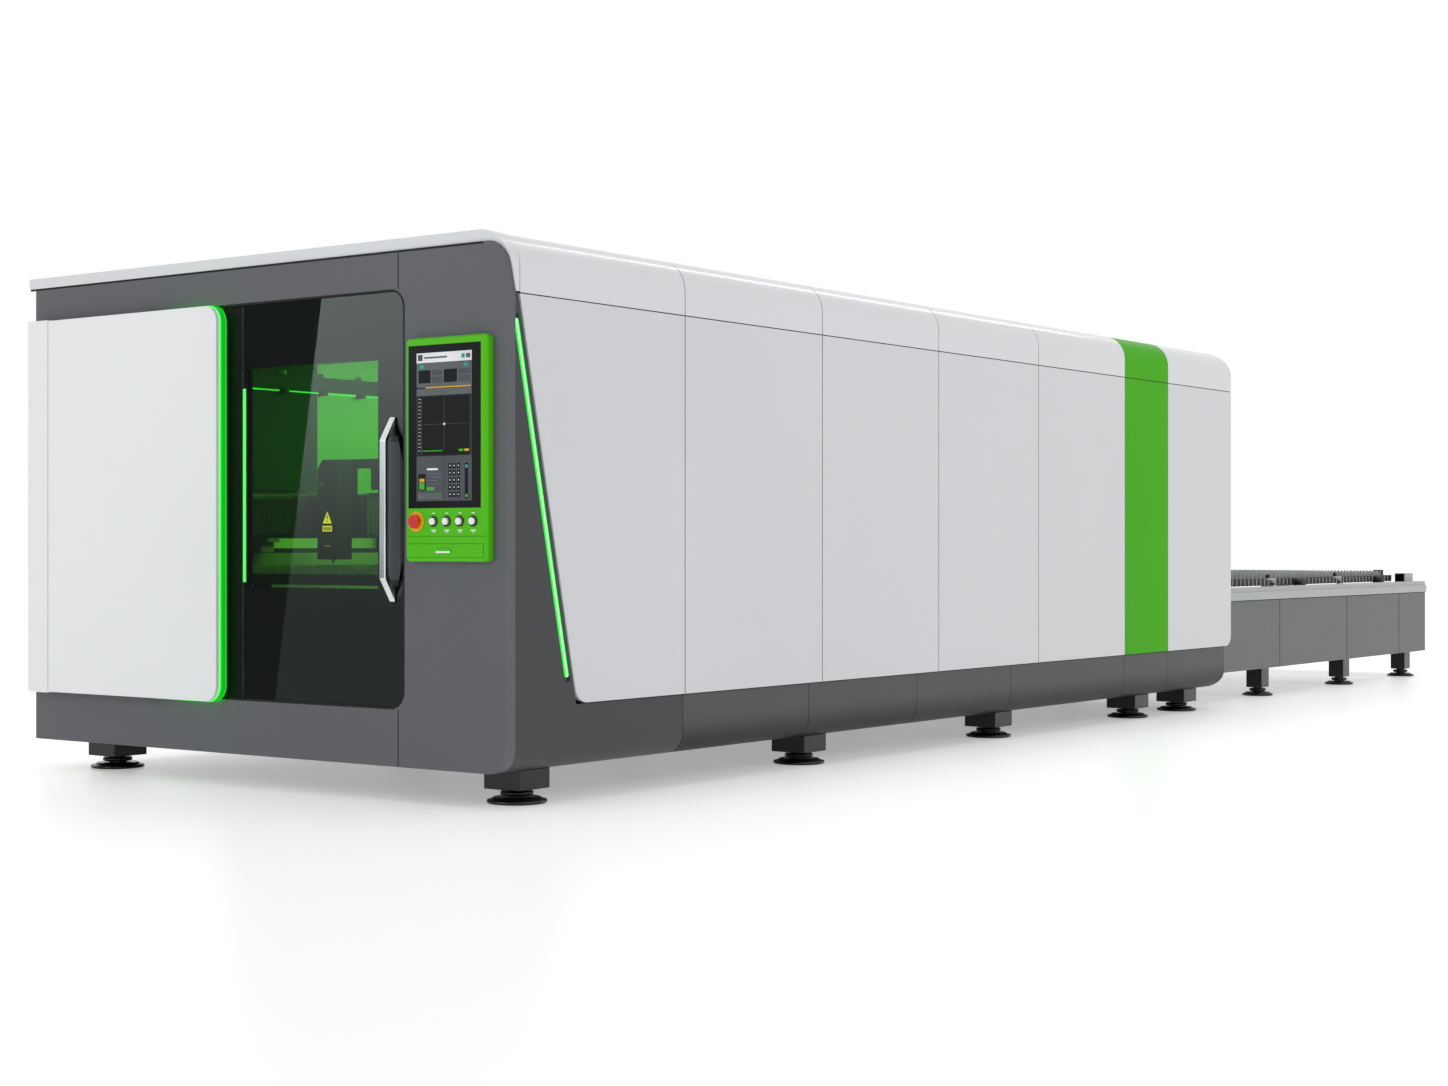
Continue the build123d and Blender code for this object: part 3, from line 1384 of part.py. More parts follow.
# Upper pallet: its wheels hang outboard on drop plates and roll on the upper rails
upper_low = upper_tips - pallet_height
upper_axle = upper_rail + upper_wheel_radius + wheel_gap
with BuildPart() as upper_pallet:
    pallet_frame(pallet_start, upper_tips)
    for place in wheel_places:
        wheel_x = pallet_start + place
        arm_x = (wheel_x - 60, wheel_x + 60)
        both_sides(arm_x, (pallet_half, upper_track - 8), (upper_low, upper_low + 12))
        both_sides(arm_x, (upper_track - 18, upper_track - 8), (upper_axle - 16, upper_low))
        for side in (-1, 1):
            wheel_y = sorted((side * upper_track, side * (upper_track + wheel_width)))
            axle_y = sorted((side * (upper_track - 10), side * (upper_track + 2)))
            disc_across(wheel_x, wheel_y, upper_axle, upper_wheel_radius)
            disc_across(wheel_x, axle_y, upper_axle, 10)
save(upper_pallet.part, "upper_pallet")
save(slat_set(pallet_start, upper_tips), "upper_slats")

# Lower pallet: its wheels sit inboard of the drop plates and roll on the lower ledges
lower_start = pallet_start + exchange_travel
lower_axle = lower_rail + lower_wheel_radius + wheel_gap
with BuildPart() as lower_pallet:
    pallet_frame(lower_start, lower_tips)
    for place in wheel_places:
        wheel_x = lower_start + place
        drop_z = (lower_axle - 18, lower_axle + 40)
        both_sides((wheel_x - 60, wheel_x + 60), (pallet_half, pallet_half + 6), drop_z)
        for side in (-1, 1):
            wheel_y = sorted((side * lower_track, side * (lower_track + wheel_width)))
            axle_y = sorted((side * (pallet_half + 5), side * (lower_track + 2)))
            disc_across(wheel_x, wheel_y, lower_axle, lower_wheel_radius)
            disc_across(wheel_x, axle_y, lower_axle, 10)
save(lower_pallet.part, "lower_pallet")
save(slat_set(lower_start, lower_tips), "lower_slats")

# Foot blocks under the bed and the table posts
with BuildPart() as foot_blocks:
    for station in foot_stations:
        for line in foot_lines:
            block_x = (station - foot_block / 2, station + foot_block / 2)
            bar(block_x, (line - foot_block / 2, line + foot_block / 2), (block_bottom, skirt_bottom))
    for station in table_foot_stations:
        post_mid = (post_inner + post_outer) / 2
        block_x = (station - table_post / 2 + 5, station + table_post / 2 - 5)
        both_sides(block_x, (post_mid - 60, post_mid + 60), (block_bottom, bed_bottom))
save(foot_blocks.part, "foot_blocks")


def levelling_foot(centre, radius):
    """A turned pad with a ball seat, and the screw with its wide lock collar."""
    plane = Plane(origin=(centre[0], centre[1], 0), x_dir=(1, 0, 0), z_dir=(0, -1, 0))
    axis = Axis((centre[0], centre[1], 0), (0, 0, 1))
    with BuildPart() as pad:
        with BuildSketch(plane):
            with BuildLine():
                Polyline(
                    (0, 0),
                    (radius, 0),
                    (radius, 10),
                    (radius - 14, pad_height - 6),
                    (44, pad_height - 4),
                    (40, pad_height),
                    (0, pad_height),
                    close=True,
                )
            make_face()
        revolve(axis=axis)
    with BuildPart() as screw:
        with BuildSketch(plane):
            with BuildLine():
                Polyline(
                    (0, pad_height),
                    (26, pad_height),
                    (26, pad_height + 9),
                    (collar_foot_radius, pad_height + 13),
                    (collar_foot_radius, block_bottom - 3),
                    (collar_foot_radius - 3, block_bottom),
                    (0, block_bottom),
                    close=True,
                )
            make_face()
        revolve(axis=axis)
    return [pad.part, screw.part]


feet = []
for station in foot_stations:
    for line in foot_lines:
        feet += levelling_foot((front_x + station, mid_y + line), pad_radius)
for station in table_foot_stations:
    for side in (-1, 1):
        foot_centre = (front_x + station, mid_y + side * (post_inner + post_outer) / 2)
        feet += levelling_foot(foot_centre, table_pad_radius)
save(Compound(children=feet), "levelling_feet")
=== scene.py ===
from math import cos, pi, radians, sin

import bmesh
import bpy
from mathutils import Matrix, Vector


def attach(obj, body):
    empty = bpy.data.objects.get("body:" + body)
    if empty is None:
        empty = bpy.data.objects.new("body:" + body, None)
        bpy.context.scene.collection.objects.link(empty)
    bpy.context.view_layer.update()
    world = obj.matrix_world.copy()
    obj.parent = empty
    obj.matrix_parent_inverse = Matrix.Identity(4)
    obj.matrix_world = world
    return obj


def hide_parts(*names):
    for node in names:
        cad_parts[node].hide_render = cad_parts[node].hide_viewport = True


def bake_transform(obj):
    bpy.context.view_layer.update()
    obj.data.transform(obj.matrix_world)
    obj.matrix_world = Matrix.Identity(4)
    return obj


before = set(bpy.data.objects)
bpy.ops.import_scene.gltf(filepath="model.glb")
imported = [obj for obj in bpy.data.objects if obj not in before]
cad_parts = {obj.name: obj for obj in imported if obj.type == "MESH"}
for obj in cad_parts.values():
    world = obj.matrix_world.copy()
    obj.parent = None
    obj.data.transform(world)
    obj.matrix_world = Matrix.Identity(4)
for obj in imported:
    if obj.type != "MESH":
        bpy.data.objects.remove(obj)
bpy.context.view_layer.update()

# Camera: stands in front of the near corner at chest height, level, and looks along both faces.
# The long lens keeps the uprights parallel.
camera_data = bpy.data.cameras.new("camera")
camera_data.sensor_width = 36
camera_data.lens = 55.42
camera_data.shift_y = 0.003
camera_data.clip_end = 300
camera = bpy.data.objects.new("camera", camera_data)
camera.location = (-12.9445, -7.668, 1.09)
camera.rotation_euler = (pi / 2, 0, radians(35.948 - 90))
bpy.context.scene.collection.objects.link(camera)
bpy.context.scene.camera = camera
bpy.context.scene.view_settings.view_transform = "Standard"


# Studio: a white floor under a white surround, with broad lamps overhead, in front and along the side.
# The floor is satin, so that the feet show a faint reflection.
def add_node(tree, kind, inputs=(), **settings):
    """Adds a node. Its inputs go by name or number, and take a value or another node's socket."""
    node = tree.nodes.new(kind)
    for key, value in settings.items():
        setattr(node, key, value)
    for key, value in dict(inputs).items():
        if isinstance(value, bpy.types.NodeSocket):
            tree.links.new(value, node.inputs[key])
        else:
            node.inputs[key].default_value = value
    return node


def maths(tree, operation, *values):
    """The result of a maths node. Each value is a number or another node's socket."""
    return add_node(tree, "ShaderNodeMath", dict(enumerate(values)), operation=operation).outputs[0]


def ranged(tree, value, source, target, smooth=False):
    """A value carried over from one range to another, in a straight line or with soft ends."""
    inputs = {"Value": value, "From Min": source[0], "From Max": source[1]}
    inputs |= {"To Min": target[0], "To Max": target[1]}
    kind = "SMOOTHSTEP" if smooth else "LINEAR"
    return add_node(tree, "ShaderNodeMapRange", inputs, interpolation_type=kind).outputs[0]


def object_place(tree):
    """The place of a point of the surface, in the frame."""
    return add_node(tree, "ShaderNodeTexCoord").outputs["Object"]


def coordinate(tree, place, axis):
    """One coordinate of a place."""
    return add_node(tree, "ShaderNodeSeparateXYZ", {0: place}).outputs[axis]


def new_material(name):
    """A new material, with its node tree and its main shader."""
    material = bpy.data.materials.new(name)
    material.use_nodes = True
    return material, material.node_tree, material.node_tree.nodes["Principled BSDF"]


def set_inputs(node, **values):
    """Sets a node's inputs. A name's underscores stand for spaces."""
    for key, value in values.items():
        node.inputs[key.replace("_", " ")].default_value = value


def new_piece(name, mesh, material=None):
    """A mesh as an object of the scene, at the origin."""
    piece = bpy.data.objects.new(name, mesh)
    bpy.context.scene.collection.objects.link(piece)
    if material:
        mesh.materials.clear()
        mesh.materials.append(material)
    return piece


def stage_sheet(name, corners, material):
    """A flat sheet of the stage, which isn't a part of the machine."""
    mesh = bpy.data.meshes.new(name)
    mesh.from_pydata(corners, [], [(0, 1, 2, 3)])
    piece = new_piece(name, mesh, material)
    return piece


floor_paint, tree, shader = new_material("studio_floor")
set_inputs(shader, Base_Color=(0.93, 0.93, 0.93, 1), Roughness=0.32, Specular_IOR_Level=0.25)
set_inputs(shader, Emission_Color=(1, 1, 1, 1), Emission_Strength=0.34)
reach, floor_z = 70, -0.0004
floor_corners = [(-reach, -reach), (reach, -reach), (reach, reach), (-reach, reach)]
stage_sheet("studio_floor", [(x, y, floor_z) for x, y in floor_corners], floor_paint)

surround = bpy.data.worlds.new("surround")
bpy.context.scene.world = surround
surround.use_nodes = True
tree = surround.node_tree
background = tree.nodes["Background"]
background.inputs["Color"].default_value = (1, 1, 1, 1)
ray = add_node(tree, "ShaderNodeLightPath").outputs
seen = maths(tree, "MAXIMUM", ray["Is Camera Ray"], ray["Is Glossy Ray"])
seen = maths(tree, "MAXIMUM", seen, ray["Is Transmission Ray"])
level = ranged(tree, seen, (0, 1), (0.55, 1.0))
deep = maths(tree, "GREATER_THAN", ray["Diffuse Depth"], 0.5)
deep = maths(tree, "MULTIPLY", deep, ray["Is Transmission Ray"])
level = maths(tree, "MULTIPLY_ADD", deep, -0.97, level)
tree.links.new(level, background.inputs["Strength"])


def studio_lamp(name, place, target, size, power):
    """A rectangular area lamp that points at a target."""
    data = bpy.data.lights.new(name, "AREA")
    data.shape = "RECTANGLE"
    data.size, data.size_y = size
    data.energy = power
    lamp = bpy.data.objects.new(name, data)
    lamp.location = place
    lamp.rotation_euler = (Vector(target) - Vector(place)).to_track_quat("-Z", "Y").to_euler()
    bpy.context.scene.collection.objects.link(lamp)
    return lamp


studio_lamp("lamp_overhead", (-1, -2, 13), (0, 0, 0), (16, 10), 330)
studio_lamp("lamp_front", (-16, 2.5, 5.5), (-6, 0.5, 1.2), (7, 5), 210)
studio_lamp("lamp_side", (-2, -15, 8), (0, -1.5, 1.6), (16, 4), 320)
studio_lamp("lamp_sheen", (13, 0.6, 13), (13, 0.6, 0), (14, 1.6), 240)

# Shade: a black sheet under the bed, which belongs to the stage.
# It keeps the white floor's light out of the chamber, as scrap trays would.
shade_paint, tree, shader = new_material("under_shade")
set_inputs(shader, Base_Color=(0.01, 0.01, 0.01, 1))
shade_z, shade_front, shade_rear, shade_near, shade_far = 0.148, -5.9, 1.25, -1.45, 1.4
shade_corners = [(shade_front, shade_near), (shade_rear, shade_near)]
shade_corners += [(shade_rear, shade_far), (shade_front, shade_far)]
shade = stage_sheet("under_shade", [(x, y, shade_z) for x, y in shade_corners], shade_paint)
shade.visible_camera = False

# Reflection card: what the door glass mirrors, a dark left part and a pale right part with a slanted edge.
# It belongs to the stage, and only mirrors and glass see it.
card_x, card_near, card_far, card_low, card_high = -9.03, 1.6, 3.6, 0.01, 2.9
card_paint, tree, shader = new_material("reflection_card")
tree.nodes.remove(shader)
place = object_place(tree)
height = coordinate(tree, place, "Z")
edge = ranged(tree, height, (0.11, 2.694), (3.07, 2.64))
bright_side = maths(tree, "LESS_THAN", coordinate(tree, place, "Y"), edge)
fade = ranged(tree, height, (0.6, 2.8), (0.2, 1.5), smooth=True)
glow = maths(tree, "MULTIPLY", bright_side, fade)
glow = maths(tree, "ADD", glow, 0.09)
light = add_node(tree, "ShaderNodeEmission", {"Color": (0.9, 1.0, 1.0, 1), "Strength": glow})
tree.links.new(light.outputs[0], tree.nodes["Material Output"].inputs["Surface"])
card_corners = [(card_near, card_low), (card_far, card_low), (card_far, card_high), (card_near, card_high)]
card = stage_sheet("reflection_card", [(card_x, y, z) for y, z in card_corners], card_paint)
card.visible_camera = card.visible_diffuse = card.visible_shadow = False


# Near side panels: folded sheet pans in white powder coat, hooked on the frame posts.
# The first one leans back at its front edge, and the end pan has a round lower corner.
def rgb(code):
    """A hex colour as the linear numbers that a shader socket takes."""
    parts = [int(code[i : i + 2], 16) / 255 for i in (1, 3, 5)]
    linear = [p / 12.92 if p <= 0.04045 else ((p + 0.055) / 1.055) ** 2.4 for p in parts]
    return (*linear, 1.0)


def new_group(name, ways_in, ways_out):
    """An empty shader node group. Ways in are (name, kind, start value), ways out (name, kind)."""
    group = bpy.data.node_groups.new(name, "ShaderNodeTree")
    for label, kind, start in ways_in:
        socket = group.interface.new_socket(label, in_out="INPUT", socket_type="NodeSocket" + kind)
        socket.default_value = start
    for label, kind in ways_out:
        group.interface.new_socket(label, in_out="OUTPUT", socket_type="NodeSocket" + kind)
    return group, group.nodes.new("NodeGroupInput").outputs, group.nodes.new("NodeGroupOutput").inputs


def noise(tree, place, scale, detail):
    """A cloudy value over the surface, from 0 to 1 and mostly between 0.3 and 0.7."""
    inputs = {"Vector": place, "Scale": scale, "Detail": detail}
    return add_node(tree, "ShaderNodeTexNoise", inputs).outputs["Fac"]


def scaled(tree, colour, factor):
    """A colour times a factor."""
    return add_node(tree, "ShaderNodeVectorMath", {0: colour, "Scale": factor}, operation="SCALE").outputs[0]


cloudy = (0.3, 0.7)
coat_grain, way_in, way_out = new_group(
    "coat_grain",
    [
        ("Colour", "Color", (1, 1, 1, 1)),
        ("Tone", "Float", 0.04),
        ("Grain", "Float", 260),
        ("Roughness", "Float", 0.35),
    ],
    [("Colour", "Color"), ("Roughness", "Float"), ("Height", "Float")],
)
place = object_place(coat_grain)
peel = noise(coat_grain, place, way_in["Grain"], 1.5)
dull = ranged(coat_grain, noise(coat_grain, place, 0.8, 3.0), cloudy, (way_in["Tone"], 0.0))
tint = scaled(coat_grain, way_in["Colour"], maths(coat_grain, "SUBTRACT", 1.0, dull))
gloss = ranged(coat_grain, noise(coat_grain, place, 7.0, 4.0), cloudy, (-0.015, 0.015))
gloss = maths(coat_grain, "ADD", gloss, way_in["Roughness"])
coat_grain.links.new(tint, way_out["Colour"])
coat_grain.links.new(gloss, way_out["Roughness"])
coat_grain.links.new(peel, way_out["Height"])


def coated(name, colour, rough=0.35, tone=0.04, grain=260, peel=0.0003, coat=0.0, metal=0.0, spec=0.35):
    """A sprayed or moulded surface: slightly uneven in tone and gloss, with a fine orange peel."""
    material, tree, shader = new_material(name)
    skin = add_node(tree, "ShaderNodeGroup", node_tree=coat_grain)
    set_inputs(skin, Colour=rgb(colour), Tone=tone, Grain=grain, Roughness=rough)
    skin = skin.outputs
    bump = add_node(tree, "ShaderNodeBump", {"Strength": 0.12, "Distance": peel, "Height": skin["Height"]})
    tree.links.new(skin["Colour"], shader.inputs["Base Color"])
    tree.links.new(skin["Roughness"], shader.inputs["Roughness"])
    tree.links.new(bump.outputs["Normal"], shader.inputs["Normal"])
    set_inputs(shader, Metallic=metal, Specular_IOR_Level=spec, Coat_Weight=coat, Coat_Roughness=0.08)
    return material


def settled(piece):
    """The piece with its modifiers turned into plain mesh."""
    bpy.context.view_layer.update()
    mesh = bpy.data.meshes.new_from_object(piece.evaluated_get(bpy.context.evaluated_depsgraph_get()))
    piece.modifiers.clear()
    piece.data = mesh
    return piece


def eased(piece, width, steps):
    """The piece with a small round on its sharp edges."""
    bevel = piece.modifiers.new("eased", "BEVEL")
    bevel.width = width
    bevel.segments = steps
    bevel.limit_method = "ANGLE"
    bevel.angle_limit = radians(40)
    return settled(piece)


def smoothed(piece, angle):
    """Smooth shading, except over edges sharper than the angle. Large flat faces stay flat."""
    piece.data.shade_smooth()
    piece.data.set_sharp_from_angle(angle=radians(angle))
    piece.modifiers.new("even", "WEIGHTED_NORMAL").keep_sharp = True
    return settled(piece)


def mesh_from(name, work):
    """The mesh that was built up in work."""
    mesh = bpy.data.meshes.new(name)
    work.to_mesh(mesh)
    work.free()
    return mesh


def dressed(node, body, material, edge=0.0, steps=2):
    """A CAD node's merged copy with eased edges and smooth curves, which stands for the node."""
    work = bmesh.new()
    work.from_mesh(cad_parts[node].data)
    bmesh.ops.remove_doubles(work, verts=work.verts, dist=0.00001)
    if edge:
        bmesh.ops.dissolve_limit(work, angle_limit=0.008, verts=work.verts[:], edges=work.edges[:])
    piece = new_piece(node + "_dressed", mesh_from(node + "_dressed", work), material)
    if edge:
        eased(piece, edge, steps)
    smoothed(piece, 50 if edge else 32)
    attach(piece, body)
    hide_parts(node)
    return piece


white_coat = coated("white_coat", "#d4d5d8", rough=0.32, tone=0.03, coat=0.1)
for number in range(1, 6):
    dressed(f"side_panel_{number}", "machine", white_coat, edge=0.003)
dressed("end_panel", "machine", white_coat, edge=0.003)

# Green stripe: one pan, one roof shell and one roof sheet in leaf green, in line round the machine.
# They are folded like the white pans, and hang on the same posts.
green_coat = coated("green_coat", "#49ad12", rough=0.35, tone=0.05, spec=0.04)
dressed("green_stripe", "machine", green_coat, edge=0.003)

# Roof: rolled sheet shells along the near edge, flat sheets to the far side, and the cap over the portal.
# The cap's near corner leans back with the side return.
roof_coat = coated("roof_coat", "#d9dbde", rough=0.24, tone=0.02, coat=0.3)
dressed("roof_shells", "machine", roof_coat, edge=0.0025)
dressed("roof_deck", "machine", roof_coat)
cap = dressed("roof_cap", "machine", roof_coat)
lean, cap_top, cap_height = 0.062, 2.40, 0.249
for v in cap.data.vertices:
    if v.co.y < -1.40 and v.co.z < cap_top and v.co.x < -6.01:
        v.co.x += lean * min(1, (cap_top - v.co.z) / cap_height)

# Far side and rear wall: plain white pans, and the wall with the pallet passage.
# They are folded from the same sheet as the near side.
back_coat = coated("back_coat", "#d6d8da", rough=0.36, tone=0.03)
dressed("far_side_panels", "machine", back_coat)
dressed("rear_wall", "machine", back_coat, edge=0.0015)

# Portal: welded sheet frame and corner column in satin grey, with round corners towards the near side.
# The side return between the column and the first panel is a darker copy of the grey, painted shade for the
# gap between them.
grey_coat = coated("grey_coat", "#5e6064", rough=0.42, tone=0.06, spec=0.25)
return_shade_coat = coated("return_shade_coat", "#434547", rough=0.42, tone=0.06, spec=0.2)
dressed("corner_column", "machine", grey_coat, edge=0.003, steps=3)
dressed("portal_frame", "machine", grey_coat, edge=0.002)
dressed("side_return", "machine", return_shade_coat, edge=0.001)

# Skirt: grey sheets under the side panels, rolled under the machine and screwed to the bed.
# Their rolled lower part is painted darker towards the bottom, as painted shade where the skirt turns under
# the machine.
skirt_coat = coated("skirt_coat", "#505254", rough=0.45, tone=0.06, spec=0.2)
tree = skirt_coat.node_tree
# Painted shade: the skirt's colour darkens towards its bottom edge.
painted_shade = ranged(tree, coordinate(tree, object_place(tree), "Z"), (0.16, 0.33), (0.12, 1.0), smooth=True)
skin = next(node for node in tree.nodes if node.type == "GROUP")
painted_shade = scaled(tree, skin.outputs["Colour"], painted_shade)
tree.links.new(painted_shade, tree.nodes["Principled BSDF"].inputs["Base Color"])
dressed("skirt_panels", "machine", skirt_coat, edge=0.0015)

# Frame inside the skin: square tube posts and roof beams, welded and painted dark grey.
# The panels hang on them.
frame_coat = coated("frame_coat", "#2e3133", rough=0.6, tone=0.06)
dressed("frame_posts", "machine", frame_coat, edge=0.003)
dressed("roof_beams", "machine", frame_coat, edge=0.003)

# Front cover: a proud white steel cover with a narrow strip beside it, hung on the grey portal.
# The open door slides behind it.
cover_coat = coated("cover_coat", "#e9ebed", rough=0.3, tone=0.02, coat=0.15)
dressed("cover_panels", "machine", cover_coat, edge=0.003, steps=3)


# Green lights: extruded light channels behind the cover, along the slanted panel edge and on the door.
# The tube shows a white core, and it lights the sheet round it.
def mixed(tree, factor, first, second):
    """A colour between two others."""
    return add_node(tree, "ShaderNodeMix", {0: factor, 6: first, 7: second}, data_type="RGBA").outputs[2]


def lamp_strip(name, across, half, core=0.75, spill=3.0, fade=None, body=(0.0, 0.95, 0.02, 1)):
    """A green light tube. Across is its width direction in the frame, and its middle's distance that way."""
    direction, middle = across
    material, tree, shader = new_material(name)
    place = object_place(tree)
    along = add_node(tree, "ShaderNodeVectorMath", {0: place, 1: direction}, operation="DOT_PRODUCT")
    off = maths(tree, "ABSOLUTE", maths(tree, "SUBTRACT", along.outputs["Value"], middle))
    white = ranged(tree, off, (half * 0.15, half * 0.8), (core, 0.0), smooth=True)
    rim = ranged(tree, off, (half * 0.7, half * 0.85), (0, 1))
    colour = mixed(tree, white, body, (0.75, 1.0, 0.8, 1))
    colour = mixed(tree, rim, colour, (0.01, 0.95, 0.03, 1))
    ray = add_node(tree, "ShaderNodeLightPath").outputs
    power = ranged(tree, ray["Is Diffuse Ray"], (0, 1), (1.0, spill))
    if fade:
        dim = ranged(tree, coordinate(tree, place, "Y"), fade, (1.0, 0.0), smooth=True)
        power = maths(tree, "MULTIPLY", power, dim)
    set_inputs(shader, Base_Color=(0.02, 0.35, 0.03, 1), Roughness=0.25)
    tree.links.new(colour, shader.inputs["Emission Color"])
    tree.links.new(power, shader.inputs["Emission Strength"])
    return material


slant = radians(12.27)
slant_light = lamp_strip("slant_light", ((cos(slant), 0, sin(slant)), -5.411), 0.009, core=1.0)
edge_light = lamp_strip(
    "edge_light", ((1, 0, 0), -6.0705), 0.017, core=0.0, spill=4, fade=(0.3, 0.63), body=(0.0, 0.3, 0.008, 1)
)
door_light = lamp_strip("door_light", ((0, 1, 0), 0.0255), 0.0095, core=0.2, spill=1.5)
dressed("light_strip", "machine", slant_light)
dressed("cover_edge_light", "machine", edge_light)
dressed("door_light_bar", "door", door_light)

# Sliding door: a black steel leaf with a window, and one smoked glass pane over its whole front.
# A bright flat-bar handle stands on a dark plate.
glass, tree, shader = new_material("smoked_glass")
ripple = noise(tree, object_place(tree), 1.4, 1.0)
ripple = add_node(tree, "ShaderNodeBump", {"Strength": 0.03, "Distance": 0.002, "Height": ripple})
tree.links.new(ripple.outputs["Normal"], shader.inputs["Normal"])
set_inputs(shader, Base_Color=(0.52, 0.6, 0.56, 1), Roughness=0.01, IOR=1.5, Transmission_Weight=1.0)
pane = dressed("door_glass", "door", glass, edge=0.001)
back_face = max(v.co.x for v in pane.data.vertices)
glue_line = 0.0008
for v in pane.data.vertices:
    if v.co.x > back_face - 0.0015:
        v.co.x -= glue_line
black_coat = coated("black_coat", "#0a0b0c", rough=0.45, tone=0.08, spec=0.12)
dressed("door_leaf", "door", black_coat, edge=0.002)
dressed("door_track", "machine", black_coat, edge=0.001)


steel_marks, way_in, way_out = new_group(
    "steel_marks",
    [
        ("Direction", "Vector", (1, 1, 1)),
        ("Scale", "Float", 400),
        ("Roughness", "Float", 0.2),
        ("Spread", "Float", 0.1),
    ],
    [("Roughness", "Float"), ("Tone", "Float"), ("Height", "Float")],
)
place = object_place(steel_marks)
drawn = {0: place, 1: way_in["Direction"]}
drawn = add_node(steel_marks, "ShaderNodeVectorMath", drawn, operation="MULTIPLY").outputs[0]
lines = noise(steel_marks, drawn, way_in["Scale"], 3.0)
level = ranged(steel_marks, lines, cloudy, (-0.5, 0.5))
level = maths(steel_marks, "MULTIPLY_ADD", level, way_in["Spread"], way_in["Roughness"])
tone = ranged(steel_marks, noise(steel_marks, place, 6.0, 4.0), cloudy, (0.8, 1.0))
steel_marks.links.new(level, way_out["Roughness"])
steel_marks.links.new(tone, way_out["Tone"])
steel_marks.links.new(lines, way_out["Height"])


def steel(name, colour, rough=0.25, spread=0.12, direction=(1, 1, 1), scale=300, metal=1.0, bump=0.00005):
    """Bare or plated metal, with drawing or grinding marks along one direction."""
    material, tree, shader = new_material(name)
    marks = add_node(tree, "ShaderNodeGroup", node_tree=steel_marks)
    set_inputs(marks, Direction=direction, Scale=scale, Roughness=rough, Spread=spread)
    marks = marks.outputs
    groove = add_node(tree, "ShaderNodeBump", {"Strength": 0.3, "Distance": bump, "Height": marks["Height"]})
    tree.links.new(scaled(tree, rgb(colour)[:3], marks["Tone"]), shader.inputs["Base Color"])
    tree.links.new(marks["Roughness"], shader.inputs["Roughness"])
    tree.links.new(groove.outputs["Normal"], shader.inputs["Normal"])
    shader.inputs["Metallic"].default_value = metal
    return material


handle_steel = steel("handle_steel", "#e6e8ea", rough=0.12, spread=0.06, direction=(1, 1, 0.02))
dressed("door_handle", "door", handle_steel, edge=0.002, steps=3)
dressed("handle_plate", "door", coated("plate_coat", "#2c3033", rough=0.35), edge=0.001)

portal_x, middle_y, half_width = 6047.5, 22.5, 1541.5


def at(x, y, z):
    """A point in metres, from millimetres: x from the portal, y from the centre line, z from the floor."""
    return Vector(((x - portal_x) / 1000, (y - middle_y) / 1000, z / 1000))


def near(x, y, z):
    """The same, with y from the near side of the machine."""
    return at(x, y - half_width, z)


def slab(work, low, high, slot=0):
    """A closed box between two corners, added to a mesh in work."""
    made = bmesh.ops.create_cube(work, size=1.0)["verts"]
    middle, size = (low + high) / 2, high - low
    for v in made:
        v.co = Vector(v.co[i] * size[i] + middle[i] for i in range(3))
    for face in {f for v in made for f in v.link_faces}:
        face.material_index = slot


def prism(work, outline, depth, slot=0):
    """A closed plate: an outline of points, and the same outline moved by a vector."""
    front = [work.verts.new(p) for p in outline]
    back = [work.verts.new(Vector(p) + Vector(depth)) for p in outline]
    faces = [work.faces.new(front), work.faces.new(list(reversed(back)))]
    for i in range(len(front)):
        j = (i + 1) % len(front)
        faces.append(work.faces.new((front[j], front[i], back[i], back[j])))
    for face in faces:
        face.material_index = slot


def shape_of(name, work, body, slot, *materials, edge=0.0, angle=32):
    """A finished piece from a mesh in work."""
    bmesh.ops.recalc_face_normals(work, faces=work.faces[:])
    piece = new_piece(name, mesh_from(name, work))
    for material in materials:
        piece.data.materials.append(material)
    if edge:
        eased(piece, edge, 2)
    smoothed(piece, angle)
    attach(piece, body)
    return piece


inlay_face, inlay_thickness = 1.6, (0.0006, 0, 0)
inlay_outline = [
    (620, 950), (665, 950), (676, 975), (676, 1517), (665, 1542), (620, 1542), (609, 1517), (609, 975),
]
inlay = bmesh.new()
prism(inlay, [near(inlay_face, y, z) for y, z in inlay_outline], inlay_thickness)
shape_of("handle_inlay", inlay, "door", "black_paint", coated("inlay_coat", "#4a5055", rough=0.3))

# Console: moulded green housing round a portrait screen, with a keyboard drawer and a row of buttons.
# The panel print is plain bars, and the screen shows a plain job view.
console_coat = coated(
    "console_coat", "#52bd12", rough=0.25, tone=0.03, coat=0.15, grain=500, peel=0.0002, spec=0.1
)
dressed("console_housing", "machine", console_coat, edge=0.0025, steps=3)
dressed("console_drawer", "drawer", console_coat, edge=0.002, steps=3)
pull = bmesh.new()
pull_low, pull_high = near(-49.6, 273, 1066), near(-49.05, 353, 1074)
slab(pull, pull_low, pull_high)
shape_of("drawer_pull", pull, "drawer", "green_paint", coated("pull_paint", "#eef2ee", rough=0.3))
screen_glass = coated("screen_glass", "#0b0d0f", rough=0.12, tone=0.1, peel=0.00005, coat=0.0, spec=0.15)
dressed("console_screen", "machine", screen_glass, edge=0.0008)


def display(name, colour, strength=0.85):
    """A lit field of the screen, slightly uneven like a backlight."""
    material, tree, shader = new_material(name)
    cloud = noise(tree, object_place(tree), 9.0, 2.0)
    power = ranged(tree, cloud, cloudy, (strength * 0.9, strength * 1.1))
    set_inputs(shader, Base_Color=(0.01, 0.01, 0.01, 1), Roughness=0.2, Specular_IOR_Level=0.08)
    set_inputs(shader, Emission_Color=rgb(colour))
    tree.links.new(power, shader.inputs["Emission Strength"])
    return material


